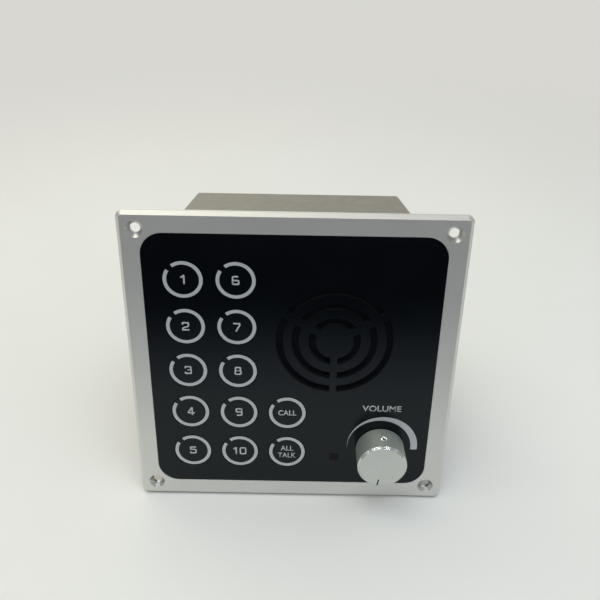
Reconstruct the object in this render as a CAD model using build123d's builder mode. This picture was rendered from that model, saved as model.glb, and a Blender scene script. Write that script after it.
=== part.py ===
"""Flush-mounted intercom master station.

A square aluminium front plate carries a printed film, twelve push keys, a
loudspeaker behind round slots, an indicator window and a volume knob. A folded
sheet box behind the plate holds the circuit boards and the wiring terminals.

Frame: the origin is the centre of the plate's rear face, which seats on the
console panel. +X points right as seen by the user, +Z points up and -Y points
at the user. Millimetres.
"""

from build123d import *
from math import cos, radians, sin
import os

os.makedirs("parts", exist_ok=True)


# Front plate
plate_size = 144.0
plate_thickness = 3.0
plate_corner = 3.0
plate_bevel = 1.5
fixing_inset = 7.5
fixing_hole = 4.3
fixing_countersink = 7.4

# Printed film in its recess
film_border = 9.0
film_corner = 9.5
film_thickness = 0.3
film_recess = 0.4
film_clearance = 0.1

# Keys
key_pitch = 22.0
key_first_x = -46.2
key_middle_z = -1.5
key_rows = 5
key_face = 17.3
key_face_thickness = 0.8
key_gap = 0.2
key_pocket_clearance = 0.3
key_travel = 0.5
key_travel_reserve = 0.1
key_stem = 5.6
key_stem_clearance = 0.3
key_catch = 7.4
key_catch_gap = 0.1
key_catch_thickness = 0.6
key_tip = 4.0
key_tip_length = 0.3

# Switch mat and key board behind the plate
spacer_length = 3.0
spacer_diameter = 5.5
mat_thickness = 0.8
mat_inset = 0.3
dome_base = 6.6
dome_top = 4.4
dome_wall = 0.6
mat_hole_clearance = 0.4
board_thickness = 1.6
board_margin_left = 3.8
board_margin_top = 6.5
board_margin_bottom = 6.0
board_leg_width = 36.0
board_foot_right = 30.0
board_foot_gap = 3.0
board_corner = 2.0
foot_stud_inset = 4.0
foot_stud_drop = 6.0

# Loudspeaker and its slots
speaker_x = 18.0
speaker_z = 14.1
slot_diameters = (51.2, 37.4, 22.9)
slot_width = 3.2
bridge_width = 3.1
bridge_angle = 30.0
cloth_thickness = 0.3
gasket_thickness = 1.5
gasket_width = 2.0
speaker_diameter = 57.0
speaker_rim_thickness = 1.0
speaker_rim_width = 3.0
basket_wall = 0.8
basket_depth = 12.0
basket_rear_diameter = 32.0
basket_window = 20.0
basket_window_edge = 1.2
centring_depth_share = 0.6
ripple_inset = 3.0
ripple_half_width = 0.6
cone_wall = 0.4
cone_neck_wall = 0.6
cone_neck_gap = 2.0
cap_rise = 2.0
cap_overlap = 1.0
surround_width = 2.95
surround_rise = 0.8
surround_wall = 0.25
surround_land = 1.0
surround_fit = 0.05
coil_diameter = 15.0
coil_wall = 0.4
coil_clearance = 0.4
coil_overhang = 1.0
top_plate_thickness = 3.0
magnet_diameter = 32.0
magnet_thickness = 7.0
magnet_bore = 20.0
magnet_step = 1.0
magnet_chamfer = 0.6
yoke_thickness = 3.0
speaker_stud_gap = 3.0
clamp_thickness = 1.0
clamp_length = 9.4
clamp_width = 7.0

# Indicator window
window_x = 20.0
window_z = -48.0
window_size = 4.0
window_clearance = 0.05
window_flange = 6.0
window_flange_thickness = 0.6
indicator_diameter = 3.0
indicator_height = 1.6
indicator_round = 0.6

# Volume control
knob_x = 41.1
knob_z = -42.4
knob_diameter = 22.4
knob_length = 13.6
knob_gap = 0.5
knob_chamfer = 1.0
knob_hollow_diameter = 17.0
knob_hollow_depth = 3.6
knob_bore_depth = 10.0
pointer_angle = 190.5
pointer_length = 4.2
pointer_width = 0.6
pointer_depth = 0.25
set_screw_angle = 3.0
set_screw_hole = 3.0
set_screw_height = 7.1
set_screw_length = 8.8
set_screw_socket = 1.5
shaft_diameter = 6.0
shaft_clearance = 0.05
shaft_flat = 0.8
bushing_diameter = 7.0
bushing_clearance = 0.1
bushing_stand_out = 3.6
pot_diameter = 16.5
pot_depth = 9.0
pot_floor = 2.0
pot_round = 1.0
pot_tag_count = 3
pot_tag_length = 4.0
pot_tag_pitch = 2.5
pot_tag_width = 3.0
pot_tag_thickness = 0.8
pot_nut_flats = 10.0
pot_nut_height = 2.0
pot_washer_diameter = 12.0
pot_washer_thickness = 0.5

# Studs, nuts and screws
stud_diameter = 3.0
stud_root = 1.0
stud_clearance = 0.05
stud_chamfer = 0.4
nut_flats = 5.5
nut_height = 2.4
nut_washer = 0.5
nut_washer_diameter = 6.5
thread_end = 1.2

# Folded rear box
box_width = 109.4
box_height = 109.0
box_x = 0.7
box_depth = 77.0
box_wall = 1.0
box_corner = 1.5
box_taper = 3.4
box_taper_depth = 27.0
lip_width = 8.0
lip_length = 88.0
lip_stud_spacing = 60.0
vent_count = 9
vent_length = 18.0
vent_width = 2.6
vent_pitch = 6.0
vent_z = -38.0

# Main board on pillars from the back of the box
pillar_length = 15.0
pillar_flats = 5.5
main_board_width = 96.0
main_board_height = 102.0
pillar_inset = 5.0
screw_head_diameter = 5.6
screw_head_height = 2.0
screw_length = 6.0
screw_head_round = 0.7
cross_length = 3.0
cross_width = 0.9
cross_depth = 1.1

# Wiring terminals through the back of the box
terminal_pitch = 5.08
terminal_height = 10.0
terminal_stand_out = 12.0
terminal_end = 0.6
terminal_entry = 3.0
terminal_entry_depth = 8.0
terminal_entry_drop = 1.2
terminal_screw = 3.2
terminal_screw_depth = 3.6
terminal_screw_height = 2.4
terminal_screw_inset = 5.0
terminal_slot_width = 0.7
terminal_slot_depth = 0.8
terminal_window_clearance = 0.5
line_ways = 12
power_ways = 6
line_upper_z = 34.0
line_lower_z = 14.0
power_x = -16.0
power_z = -10.0

# Earth stud on the back of the box
earth_x = 30.0
earth_z = -10.0
earth_diameter = 4.0
earth_length = 12.0
earth_head_diameter = 7.0
earth_head_height = 1.6
earth_nut_flats = 7.0
earth_nut_height = 3.2
earth_washer_diameter = 9.0
earth_washer_thickness = 0.8
earth_chamfer = 0.5

# Ribbon cable between the boards
ribbon_x = -31.0
ribbon_width = 25.4
ribbon_thickness = 0.9
ribbon_fit = 0.1
ribbon_turn_z = -16.0
header_length = 31.0
header_width = 8.8
header_height = 8.0
header_wall = 1.2
socket_length = 27.8
socket_width = 6.0
socket_height = 12.0
socket_slot = 3.5
keypad_header_z = 6.0
main_header_z = -2.0

# Flat leads of the loudspeaker and the volume control, each with a moulded plug
lead_thickness = 1.4
lead_bend = 20.0
speaker_lead_width = 4.4
volume_lead_width = 6.4
plug_width = 8.0
plug_height = 7.0
plug_length = 8.0
speaker_tag_length = 6.0
speaker_tag_margin = 1.0
speaker_tag_wall = 0.1
lead_straight_share = 0.35
speaker_plug_z = -19.0
volume_plug_z = -35.0

# Parts on the main board
capacitor_diameter = 12.5
capacitor_height = 20.0
capacitor_round = 1.0
capacitor_count = 3
capacitor_spacing = 16.0
capacitor_x = 10.0
capacitor_z = -31.0
relay_width = 10.0
relay_length = 15.0
relay_height = 10.0
relay_pitch_x = 12.5
relay_pitch_z = 18.0
relay_columns = 4
relay_rows = 2
relay_x = 14.0
relay_z = 32.0
transformer_width = 28.0
transformer_height = 22.0
transformer_depth = 17.0
transformer_round = 1.5
transformer_x = -31.0
transformer_z = 28.0
heat_sink_x = 29.0
heat_sink_z = -5.0
heat_sink_width = 24.0
heat_sink_depth = 22.0
heat_sink_base = 3.0
heat_sink_fin_length = 12.0
heat_sink_fin = 1.4
heat_sink_fins = 6
amplifier_width = 10.0
amplifier_height = 15.0
amplifier_thickness = 4.4
amplifier_leg = 4.0
amplifier_leg_pitch = 2.54
amplifier_leg_width = 0.8
amplifier_legs = 3
chip_width = 7.6
chip_length = 18.0
chip_height = 2.6
chip_count = 3
chip_spacing = 14.0
chip_x = 4.0
chip_z = 2.0

# Levels measured along Y, from the user towards the back
plate_front = -plate_thickness
film_floor = plate_front + film_recess
film_front = film_floor - film_thickness
key_back = film_front + key_face_thickness
pocket_floor = key_back + key_travel + key_travel_reserve
key_pocket_depth = pocket_floor - film_floor
catch_back = key_catch_gap + key_catch_thickness
tip_back = catch_back + key_tip_length
board_front = spacer_length
board_back = board_front + board_thickness
mat_front = board_front - mat_thickness
speaker_seat = cloth_thickness + gasket_thickness
basket_front = speaker_seat + speaker_rim_thickness
basket_back = basket_front + basket_depth
gap_back = basket_back + top_plate_thickness
magnet_back = gap_back + magnet_thickness
yoke_back = magnet_back + yoke_thickness
box_inner_back = box_depth - box_wall
taper_start = box_depth - box_taper_depth
main_board_back = box_inner_back - pillar_length
main_board_front = main_board_back - board_thickness
bushing_length = plate_thickness + bushing_stand_out
knob_base = film_front - knob_gap
knob_front = knob_base - knob_length
set_screw_y = knob_base - set_screw_height

# Places that several pieces share
fixing_pitch = plate_size - 2 * fixing_inset
film_size = plate_size - 2 * film_border
key_xs = [key_first_x + key_pitch * column for column in range(3)]
key_zs = [key_middle_z + key_pitch * (key_rows // 2 - row) for row in range(key_rows)]
key_places = {f"key_{row + 1}": (key_xs[0], key_zs[row]) for row in range(key_rows)}
key_places |= {f"key_{key_rows + row + 1}": (key_xs[1], key_zs[row]) for row in range(key_rows)}
key_places |= {"key_call": (key_xs[2], key_zs[-2]), "key_all_talk": (key_xs[2], key_zs[-1])}
key_centres = list(key_places.values())
between_columns = [(key_xs[0] + key_xs[1]) / 2, (key_xs[1] + key_xs[2]) / 2]
board_left = key_xs[0] - board_margin_left
board_top = key_zs[0] + board_margin_top
board_bottom = key_zs[-1] - board_margin_bottom
board_foot_top = speaker_z - speaker_diameter / 2 - board_foot_gap
board_studs = [
    (between_columns[0], (key_zs[0] + key_zs[1]) / 2),
    (between_columns[0], (key_zs[3] + key_zs[4]) / 2),
    (between_columns[1], (key_zs[3] + key_zs[4]) / 2),
    (board_foot_right - foot_stud_inset, board_foot_top - foot_stud_drop),
]
lip_centre_z = box_height / 2 + lip_width / 2
box_studs = [
    (sx * lip_stud_spacing / 2, sz * lip_centre_z) for sx in (-1, 1) for sz in (-1, 1)
]
pillar_x = main_board_width / 2 - pillar_inset
pillar_z = main_board_height / 2 - pillar_inset
rim_outer = speaker_diameter / 2
speaker_stud_radius = rim_outer + speaker_stud_gap
speaker_stud_offset = speaker_stud_radius * cos(radians(45))
speaker_studs = [
    (speaker_x + sx * speaker_stud_offset, speaker_z + sz * speaker_stud_offset)
    for sx in (-1, 1)
    for sz in (-1, 1)
]
rim_inner = rim_outer - speaker_rim_width
rear_outer = basket_rear_diameter / 2
coil_outer = coil_diameter / 2 + coil_wall
gap_outer = coil_outer + coil_clearance
pole_outer = coil_diameter / 2 - coil_clearance
spider_y = basket_front + basket_depth * centring_depth_share
cone_front = speaker_seat
roll_edge = rim_inner - basket_wall + surround_wall
cone_outer = roll_edge - surround_width
cone_neck = spider_y - cone_neck_gap
speaker_tag_z = speaker_z - rim_inner - basket_wall - lead_thickness / 2 - speaker_tag_wall
speaker_axis = Axis((speaker_x, 0, speaker_z), (0, 1, 0))
speaker_section = Plane(origin=(speaker_x, 0, speaker_z))


def layer(y, x=0.0, z=0.0):
    """A plane at depth y, parallel to the panel and seen from the front. Extrusions come forward."""
    return Plane(origin=(x, y, z), x_dir=(1, 0, 0), z_dir=(0, -1, 0))


def basket_inner(y):
    """Inner radius of the loudspeaker basket's conical wall at depth y."""
    slope = (rim_inner - rear_outer + basket_wall) / (basket_depth - basket_wall)
    return rim_inner - basket_wall - (y - basket_front) * slope


def cap_sphere(radius, rise):
    """Radius of the sphere whose cap has this edge radius and rise."""
    return (radius**2 + rise**2) / (2 * rise)


def direction(clock_angle):
    """Local direction at an angle measured clockwise from straight up, as the user sees it."""
    return (sin(radians(clock_angle)), cos(radians(clock_angle)))


# Sketches that the plate, the film and the cloth share
with BuildSketch() as grille_slots:
    for slot_diameter in slot_diameters:
        Circle(slot_diameter / 2)
        Circle(slot_diameter / 2 - slot_width, mode=Mode.SUBTRACT)
    bridge_reach = (slot_diameters[0] + slot_diameters[-1]) / 4
    with PolarLocations(bridge_reach, 3, start_angle=bridge_angle):
        Rectangle(slot_diameters[0] - slot_diameters[-1], bridge_width, mode=Mode.SUBTRACT)

with BuildSketch() as board_outline:
    with BuildLine():
        Polyline(
            (board_left, board_top),
            (board_left + board_leg_width, board_top),
            (board_left + board_leg_width, board_foot_top),
            (board_foot_right, board_foot_top),
            (board_foot_right, board_bottom),
            (board_left, board_bottom),
            close=True,
        )
    make_face()
    fillet(board_outline.vertices(), board_corner)


# Front plate: bevelled edge, film recess, key pockets, slots and holes
with BuildPart() as front_panel:
    with BuildSketch(layer(0)):
        RectangleRounded(plate_size, plate_size, plate_corner)
    extrude(amount=plate_thickness)
    chamfer(front_panel.faces().sort_by(Axis.Y)[0].edges(), plate_bevel)
    with BuildSketch(layer(film_floor)):
        RectangleRounded(
            film_size + 2 * film_clearance,
            film_size + 2 * film_clearance,
            film_corner + film_clearance,
        )
    extrude(amount=film_recess, mode=Mode.SUBTRACT)
    with BuildSketch(layer(pocket_floor)):
        with Locations(*key_centres):
            Circle(key_face / 2 + key_pocket_clearance)
    extrude(amount=key_pocket_depth, mode=Mode.SUBTRACT)
    with BuildSketch(layer(0)):
        with Locations(*key_centres):
            Circle(key_stem / 2 + key_stem_clearance)
        with Locations((window_x, window_z)):
            Rectangle(window_size, window_size)
        with Locations((knob_x, knob_z)):
            Circle(bushing_diameter / 2 + bushing_clearance)
        with Locations((speaker_x, speaker_z)):
            add(grille_slots.sketch)
    extrude(amount=plate_thickness, mode=Mode.SUBTRACT)
    with BuildSketch(layer(0)):
        with Locations(*board_studs, *speaker_studs, *box_studs):
            Circle(stud_diameter / 2 + stud_clearance)
    extrude(amount=stud_root, mode=Mode.SUBTRACT)
    with Locations(layer(plate_front)):
        with GridLocations(fixing_pitch, fixing_pitch, 2, 2):
            CounterSinkHole(fixing_hole / 2, fixing_countersink / 2)
front_panel.part.label = "front_panel"
export_step(front_panel.part, "parts/front_panel.step")

# Printed film laid in the recess, open at the keys, slots, window and knob
with BuildPart() as overlay_film:
    with BuildSketch(layer(film_floor)):
        RectangleRounded(film_size, film_size, film_corner)
        with Locations(*key_centres):
            Circle(key_face / 2 + key_gap, mode=Mode.SUBTRACT)
        with Locations((window_x, window_z)):
            Rectangle(window_size, window_size, mode=Mode.SUBTRACT)
        with Locations((knob_x, knob_z)):
            Circle(pot_washer_diameter / 2 + film_clearance, mode=Mode.SUBTRACT)
        with Locations((speaker_x, speaker_z)):
            add(grille_slots.sketch, mode=Mode.SUBTRACT)
    extrude(amount=film_thickness)
overlay_film.part.label = "overlay_film"
export_step(overlay_film.part, "parts/overlay_film.step")

# Twelve push keys: a round face, a stem through the plate, a catch and a tip on the switch dome
for key_name, (key_x, key_z) in key_places.items():
    with BuildPart() as key:
        with BuildSketch(layer(key_back, key_x, key_z)):
            Circle(key_face / 2)
        extrude(amount=key_face_thickness)
        with BuildSketch(layer(key_catch_gap, key_x, key_z)):
            Circle(key_stem / 2)
        extrude(amount=key_catch_gap - key_back)
        with BuildSketch(layer(catch_back, key_x, key_z)):
            Circle(key_catch / 2)
        extrude(amount=key_catch_thickness)
        with BuildSketch(layer(tip_back, key_x, key_z)):
            Circle(key_tip / 2)
        extrude(amount=key_tip_length)
    key.part.label = key_name
    export_step(key.part, f"parts/{key_name}.step")

# Tinted window: a square block through the plate with a flange behind it
with BuildPart() as indicator_window:
    with BuildSketch(layer(0, window_x, window_z)):
        Rectangle(window_size - 2 * window_clearance, window_size - 2 * window_clearance)
    extrude(amount=-film_front)
    with BuildSketch(layer(window_flange_thickness, window_x, window_z)):
        Rectangle(window_flange, window_flange)
    extrude(amount=window_flange_thickness)
indicator_window.part.label = "indicator_window"
export_step(indicator_window.part, "parts/indicator_window.step")

# Indicator lamp on the key board, behind the window
with BuildPart() as indicator_lamp:
    with BuildSketch(layer(board_front, window_x, window_z)):
        Circle(indicator_diameter / 2)
    extrude(amount=indicator_height)
    fillet(indicator_lamp.faces().sort_by(Axis.Y)[0].edges(), indicator_round)
indicator_lamp.part.label = "indicator_lamp"
export_step(indicator_lamp.part, "parts/indicator_lamp.step")

# Silicone switch mat with a hollow dome behind every key
with BuildPart() as switch_mat:
    with BuildSketch(layer(board_front)):
        offset(board_outline.sketch, amount=-mat_inset)
        with Locations(*board_studs):
            Circle(spacer_diameter / 2 + mat_hole_clearance, mode=Mode.SUBTRACT)
        with Locations((window_x, window_z)):
            Circle(indicator_diameter / 2 + mat_hole_clearance, mode=Mode.SUBTRACT)
    extrude(amount=mat_thickness)
    for dome_x, dome_z in key_centres:
        with BuildSketch(layer(mat_front, dome_x, dome_z)):
            Circle(dome_base / 2)
        with BuildSketch(layer(tip_back, dome_x, dome_z)):
            Circle(dome_top / 2)
        loft()
    for dome_x, dome_z in key_centres:
        with BuildSketch(layer(board_front, dome_x, dome_z)):
            Circle(dome_base / 2 - dome_wall)
        with BuildSketch(layer(tip_back + dome_wall, dome_x, dome_z)):
            Circle(dome_top / 2 - dome_wall)
        loft(mode=Mode.SUBTRACT)
switch_mat.part.label = "switch_mat"
export_step(switch_mat.part, "parts/switch_mat.step")

# Key board: an L round the loudspeaker, clear of the volume control
with BuildPart() as keypad_board:
    with BuildSketch(layer(board_back)):
        add(board_outline.sketch)
        with Locations(*board_studs):
            Circle(stud_diameter / 2 + 2 * stud_clearance, mode=Mode.SUBTRACT)
    extrude(amount=board_thickness)
keypad_board.part.label = "keypad_board"
export_step(keypad_board.part, "parts/keypad_board.step")

with BuildPart() as board_spacers:
    with BuildSketch(layer(spacer_length)):
        with Locations(*board_studs):
            Circle(spacer_diameter / 2)
        with Locations(*board_studs):
            Circle(stud_diameter / 2 + stud_clearance, mode=Mode.SUBTRACT)
    extrude(amount=spacer_length)
board_spacers.part.label = "board_spacers"
export_step(board_spacers.part, "parts/board_spacers.step")

# Pressed-in studs: three lengths, for the key board, the loudspeaker and the box
stud_sets = [
    (board_studs, board_back),
    (speaker_studs, basket_front + clamp_thickness),
    (box_studs, box_wall),
]
with BuildPart() as panel_studs:
    for stud_places, clamped_depth in stud_sets:
        stud_end = clamped_depth + nut_washer + nut_height + thread_end
        with BuildSketch(layer(stud_end)):
            with Locations(*stud_places):
                Circle(stud_diameter / 2)
        extrude(amount=stud_end + stud_root)
    stud_ends = panel_studs.faces().filter_by(Axis.Y).filter_by(lambda face: face.center().Y > 0)
    chamfer(stud_ends.edges(), stud_chamfer)
panel_studs.part.label = "panel_studs"
export_step(panel_studs.part, "parts/panel_studs.step")

# A nut with its washer on every stud
with BuildPart() as stud_nuts:
    for stud_places, clamped_depth in stud_sets:
        with BuildSketch(layer(clamped_depth + nut_washer)):
            with Locations(*stud_places):
                Circle(nut_washer_diameter / 2)
        extrude(amount=nut_washer)
        with BuildSketch(layer(clamped_depth + nut_washer + nut_height)):
            with Locations(*stud_places):
                RegularPolygon(nut_flats / 2, 6, major_radius=False)
        extrude(amount=nut_height)
        with BuildSketch(layer(clamped_depth + nut_washer + nut_height)):
            with Locations(*stud_places):
                Circle(stud_diameter / 2 + stud_clearance)
        extrude(amount=nut_washer + nut_height, mode=Mode.SUBTRACT)
stud_nuts.part.label = "stud_nuts"
export_step(stud_nuts.part, "parts/stud_nuts.step")

# Acoustic cloth and foam ring between the plate and the loudspeaker
with BuildPart() as grille_cloth:
    with BuildSketch(layer(cloth_thickness, speaker_x, speaker_z)):
        Circle(speaker_diameter / 2)
    extrude(amount=cloth_thickness)
grille_cloth.part.label = "grille_cloth"
export_step(grille_cloth.part, "parts/grille_cloth.step")

with BuildPart() as speaker_gasket:
    with BuildSketch(layer(speaker_seat, speaker_x, speaker_z)):
        Circle(speaker_diameter / 2)
        Circle(speaker_diameter / 2 - gasket_width, mode=Mode.SUBTRACT)
    extrude(amount=gasket_thickness)
speaker_gasket.part.label = "speaker_gasket"
export_step(speaker_gasket.part, "parts/speaker_gasket.step")

# Loudspeaker basket: a rim, a conical wall with four windows and a rear ring
with BuildPart() as speaker_basket:
    with BuildSketch(speaker_section):
        with BuildLine():
            Polyline(
                (rim_inner - basket_wall, speaker_seat),
                (rim_outer, speaker_seat),
                (rim_outer, basket_front),
                (rim_inner + basket_wall, basket_front),
                (rear_outer, basket_back - basket_wall),
                (rear_outer, basket_back),
                (gap_outer, basket_back),
                (gap_outer, basket_back - basket_wall),
                (rear_outer - 2 * basket_wall, basket_back - basket_wall),
                (rim_inner - basket_wall, basket_front),
                close=True,
            )
        make_face()
    revolve(axis=speaker_axis)
    with BuildSketch(layer(spider_y - basket_window_edge, speaker_x, speaker_z)):
        with PolarLocations(rim_inner, 4, start_angle=0):
            Rectangle(rim_inner, basket_window)
        Circle(rear_outer, mode=Mode.SUBTRACT)
    extrude(amount=spider_y - basket_front - 2 * basket_window_edge, mode=Mode.SUBTRACT)
    with BuildSketch(layer(basket_front + speaker_tag_length, speaker_x, speaker_tag_z)):
        Rectangle(
            speaker_lead_width + 2 * speaker_tag_margin, lead_thickness + 2 * speaker_tag_wall
        )
    extrude(amount=speaker_tag_length)
speaker_basket.part.label = "speaker_basket"
export_step(speaker_basket.part, "parts/speaker_basket.step")

# Magnet system: front plate, ring magnet, and a yoke with its centre pole
with BuildPart() as speaker_top_plate:
    with BuildSketch(layer(gap_back, speaker_x, speaker_z)):
        Circle(magnet_diameter / 2 - magnet_step)
        Circle(gap_outer, mode=Mode.SUBTRACT)
    extrude(amount=top_plate_thickness)
speaker_top_plate.part.label = "speaker_top_plate"
export_step(speaker_top_plate.part, "parts/speaker_top_plate.step")

with BuildPart() as speaker_magnet:
    with BuildSketch(layer(magnet_back, speaker_x, speaker_z)):
        Circle(magnet_diameter / 2)
        Circle(magnet_bore / 2, mode=Mode.SUBTRACT)
    extrude(amount=magnet_thickness)
    chamfer(speaker_magnet.edges().filter_by(GeomType.CIRCLE).sort_by(SortBy.RADIUS)[-2:], magnet_chamfer)
speaker_magnet.part.label = "speaker_magnet"
export_step(speaker_magnet.part, "parts/speaker_magnet.step")

with BuildPart() as speaker_yoke:
    with BuildSketch(layer(yoke_back, speaker_x, speaker_z)):
        Circle(magnet_diameter / 2 - magnet_step)
    extrude(amount=yoke_thickness)
    with BuildSketch(layer(magnet_back, speaker_x, speaker_z)):
        Circle(pole_outer)
    extrude(amount=magnet_thickness + top_plate_thickness)
    chamfer(speaker_yoke.faces().sort_by(Axis.Y)[-1].edges(), magnet_chamfer)
speaker_yoke.part.label = "speaker_yoke"
export_step(speaker_yoke.part, "parts/speaker_yoke.step")

# Moving group of the loudspeaker: cone, dust cap and voice coil
with BuildPart() as speaker_cone:
    with BuildSketch(speaker_section):
        with BuildLine():
            Polyline(
                (coil_outer, cone_neck),
                (cone_outer, cone_front),
                (cone_outer, cone_front + cone_wall),
                (coil_outer, cone_neck + cone_neck_wall),
                close=True,
            )
        make_face()
    revolve(axis=speaker_axis)
speaker_cone.part.label = "speaker_cone"
export_step(speaker_cone.part, "parts/speaker_cone.step")

with BuildPart() as dust_cap:
    cap_radius = coil_outer + cap_overlap
    cap_seat = cone_neck - cap_overlap * (cone_neck - cone_front) / (cone_outer - coil_outer)
    with BuildSketch(speaker_section):
        with BuildLine():
            cap_outside = RadiusArc(
                (0, cap_seat - cap_rise), (cap_radius, cap_seat), cap_sphere(cap_radius, cap_rise)
            )
            cap_inside = RadiusArc(
                (0, cap_seat - cap_rise + cone_wall),
                (cap_radius - cone_wall, cap_seat),
                cap_sphere(cap_radius - cone_wall, cap_rise - cone_wall),
            )
            Line(cap_outside @ 0, cap_inside @ 0)
            Line(cap_outside @ 1, cap_inside @ 1)
        make_face()
    revolve(axis=speaker_axis)
dust_cap.part.label = "dust_cap"
export_step(dust_cap.part, "parts/dust_cap.step")

with BuildPart() as voice_coil:
    coil_end = gap_back + coil_overhang
    with BuildSketch(layer(coil_end, speaker_x, speaker_z)):
        Circle(coil_outer)
        Circle(coil_diameter / 2, mode=Mode.SUBTRACT)
    extrude(amount=coil_end - cone_neck)
voice_coil.part.label = "voice_coil"
export_step(voice_coil.part, "parts/voice_coil.step")

# Flexible ring round the cone and corrugated centring disc behind it
with BuildPart() as cone_surround:
    roll_mid = (cone_outer + roll_edge) / 2
    with BuildSketch(speaker_section):
        with BuildLine():
            roll_front = ThreePointArc(
                (cone_outer, cone_front - surround_wall),
                (roll_mid, cone_front - surround_wall - surround_rise),
                (roll_edge, cone_front - surround_wall),
            )
            roll_back = ThreePointArc(
                (cone_outer, cone_front),
                (roll_mid, cone_front - surround_rise),
                (roll_edge, cone_front),
            )
            Line(roll_front @ 0, roll_back @ 0)
            Polyline(
                roll_front @ 1,
                (roll_edge + surround_land, cone_front - surround_wall),
                (roll_edge + surround_land, cone_front),
                roll_back @ 1,
            )
        make_face()
    revolve(axis=speaker_axis)
cone_surround.part.label = "cone_surround"
export_step(cone_surround.part, "parts/cone_surround.step")

with BuildPart() as centring_disc:
    disc_outer = basket_inner(spider_y) - surround_fit
    with BuildSketch(layer(spider_y, speaker_x, speaker_z)):
        Circle(disc_outer)
        Circle(coil_outer, mode=Mode.SUBTRACT)
    extrude(amount=cone_wall)
    with BuildSketch(layer(spider_y - cone_wall, speaker_x, speaker_z)):
        for ripple_radius in (coil_outer + ripple_inset, disc_outer - ripple_inset):
            Circle(ripple_radius + ripple_half_width)
            Circle(ripple_radius - ripple_half_width, mode=Mode.SUBTRACT)
    extrude(amount=cone_wall)
centring_disc.part.label = "centring_disc"
export_step(centring_disc.part, "parts/centring_disc.step")

# Four tabs that clamp the loudspeaker's rim to its studs
with BuildPart() as speaker_clamps:
    with BuildSketch(layer(basket_front + clamp_thickness, speaker_x, speaker_z)):
        with PolarLocations(speaker_stud_radius, 4, start_angle=45):
            SlotOverall(clamp_length, clamp_width)
            Circle(stud_diameter / 2 + stud_clearance, mode=Mode.SUBTRACT)
    extrude(amount=clamp_thickness)
speaker_clamps.part.label = "speaker_clamps"
export_step(speaker_clamps.part, "parts/speaker_clamps.step")

# Volume control body: a round can with a threaded bushing and three solder tags
with BuildPart() as volume_control:
    with BuildSketch(layer(pot_depth, knob_x, knob_z)):
        Circle(pot_diameter / 2)
    extrude(amount=pot_depth)
    fillet(volume_control.faces().sort_by(Axis.Y)[-1].edges(), pot_round)
    with BuildSketch(layer(0, knob_x, knob_z)):
        Circle(bushing_diameter / 2)
    extrude(amount=bushing_length)
    with BuildSketch(layer(pot_depth, knob_x, knob_z)):
        with GridLocations(pot_tag_pitch, pot_tag_pitch, pot_tag_count, 1):
            Rectangle(pot_tag_thickness, pot_tag_width)
    extrude(amount=-pot_tag_length)
    with BuildSketch(layer(pot_floor, knob_x, knob_z)):
        Circle(shaft_diameter / 2 + shaft_clearance)
    extrude(amount=pot_floor + bushing_length, mode=Mode.SUBTRACT)
volume_control.part.label = "volume_control"
export_step(volume_control.part, "parts/volume_control.step")

with BuildPart() as volume_washer:
    with BuildSketch(layer(film_floor, knob_x, knob_z)):
        Circle(pot_washer_diameter / 2)
        Circle(bushing_diameter / 2 + bushing_clearance, mode=Mode.SUBTRACT)
    extrude(amount=pot_washer_thickness)
volume_washer.part.label = "volume_washer"
export_step(volume_washer.part, "parts/volume_washer.step")

with BuildPart() as volume_nut:
    with BuildSketch(layer(film_floor - pot_washer_thickness, knob_x, knob_z)):
        RegularPolygon(pot_nut_flats / 2, 6, major_radius=False)
        Circle(bushing_diameter / 2 + bushing_clearance, mode=Mode.SUBTRACT)
    extrude(amount=pot_nut_height)
volume_nut.part.label = "volume_nut"
export_step(volume_nut.part, "parts/volume_nut.step")

# Shaft with a flat where the set screw presses
screw_right, screw_up = direction(set_screw_angle)
screw_plane = Plane(
    origin=(knob_x, set_screw_y, knob_z), x_dir=(0, 1, 0), z_dir=(screw_right, 0, screw_up)
)
flat_distance = shaft_diameter / 2 - shaft_flat
shaft_front = knob_base - knob_bore_depth + shaft_clearance
shaft_back = pot_floor - shaft_clearance
with BuildPart() as volume_shaft:
    with BuildSketch(layer(shaft_back, knob_x, knob_z)):
        Circle(shaft_diameter / 2)
    extrude(amount=shaft_back - shaft_front)
    with BuildSketch(screw_plane.offset(flat_distance)):
        Rectangle(2 * (set_screw_y - shaft_front), shaft_diameter)
    extrude(amount=shaft_diameter, mode=Mode.SUBTRACT)
volume_shaft.part.label = "volume_shaft"
export_step(volume_shaft.part, "parts/volume_shaft.step")

# Turned knob: chamfered face, hollow base over the nut, radial screw hole, engraved pointer
with BuildPart() as volume_knob:
    with BuildSketch(layer(knob_base, knob_x, knob_z)):
        Circle(knob_diameter / 2)
    extrude(amount=knob_length)
    chamfer(volume_knob.faces().sort_by(Axis.Y)[0].edges(), knob_chamfer)
    with BuildSketch(layer(knob_base, knob_x, knob_z)):
        Circle(knob_hollow_diameter / 2)
    extrude(amount=knob_hollow_depth, mode=Mode.SUBTRACT)
    with BuildSketch(layer(knob_base, knob_x, knob_z)):
        Circle(shaft_diameter / 2 + shaft_clearance)
    extrude(amount=knob_bore_depth, mode=Mode.SUBTRACT)
    with BuildSketch(screw_plane):
        Circle(set_screw_hole / 2)
    extrude(amount=knob_diameter, mode=Mode.SUBTRACT)
    with BuildSketch(layer(knob_front + pointer_depth, knob_x, knob_z)):
        with PolarLocations(
            knob_diameter / 2 - pointer_length / 2, 1, start_angle=90 - pointer_angle
        ):
            Rectangle(pointer_length, pointer_width)
    extrude(amount=pointer_depth, mode=Mode.SUBTRACT)
volume_knob.part.label = "volume_knob"
export_step(volume_knob.part, "parts/volume_knob.step")

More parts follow.
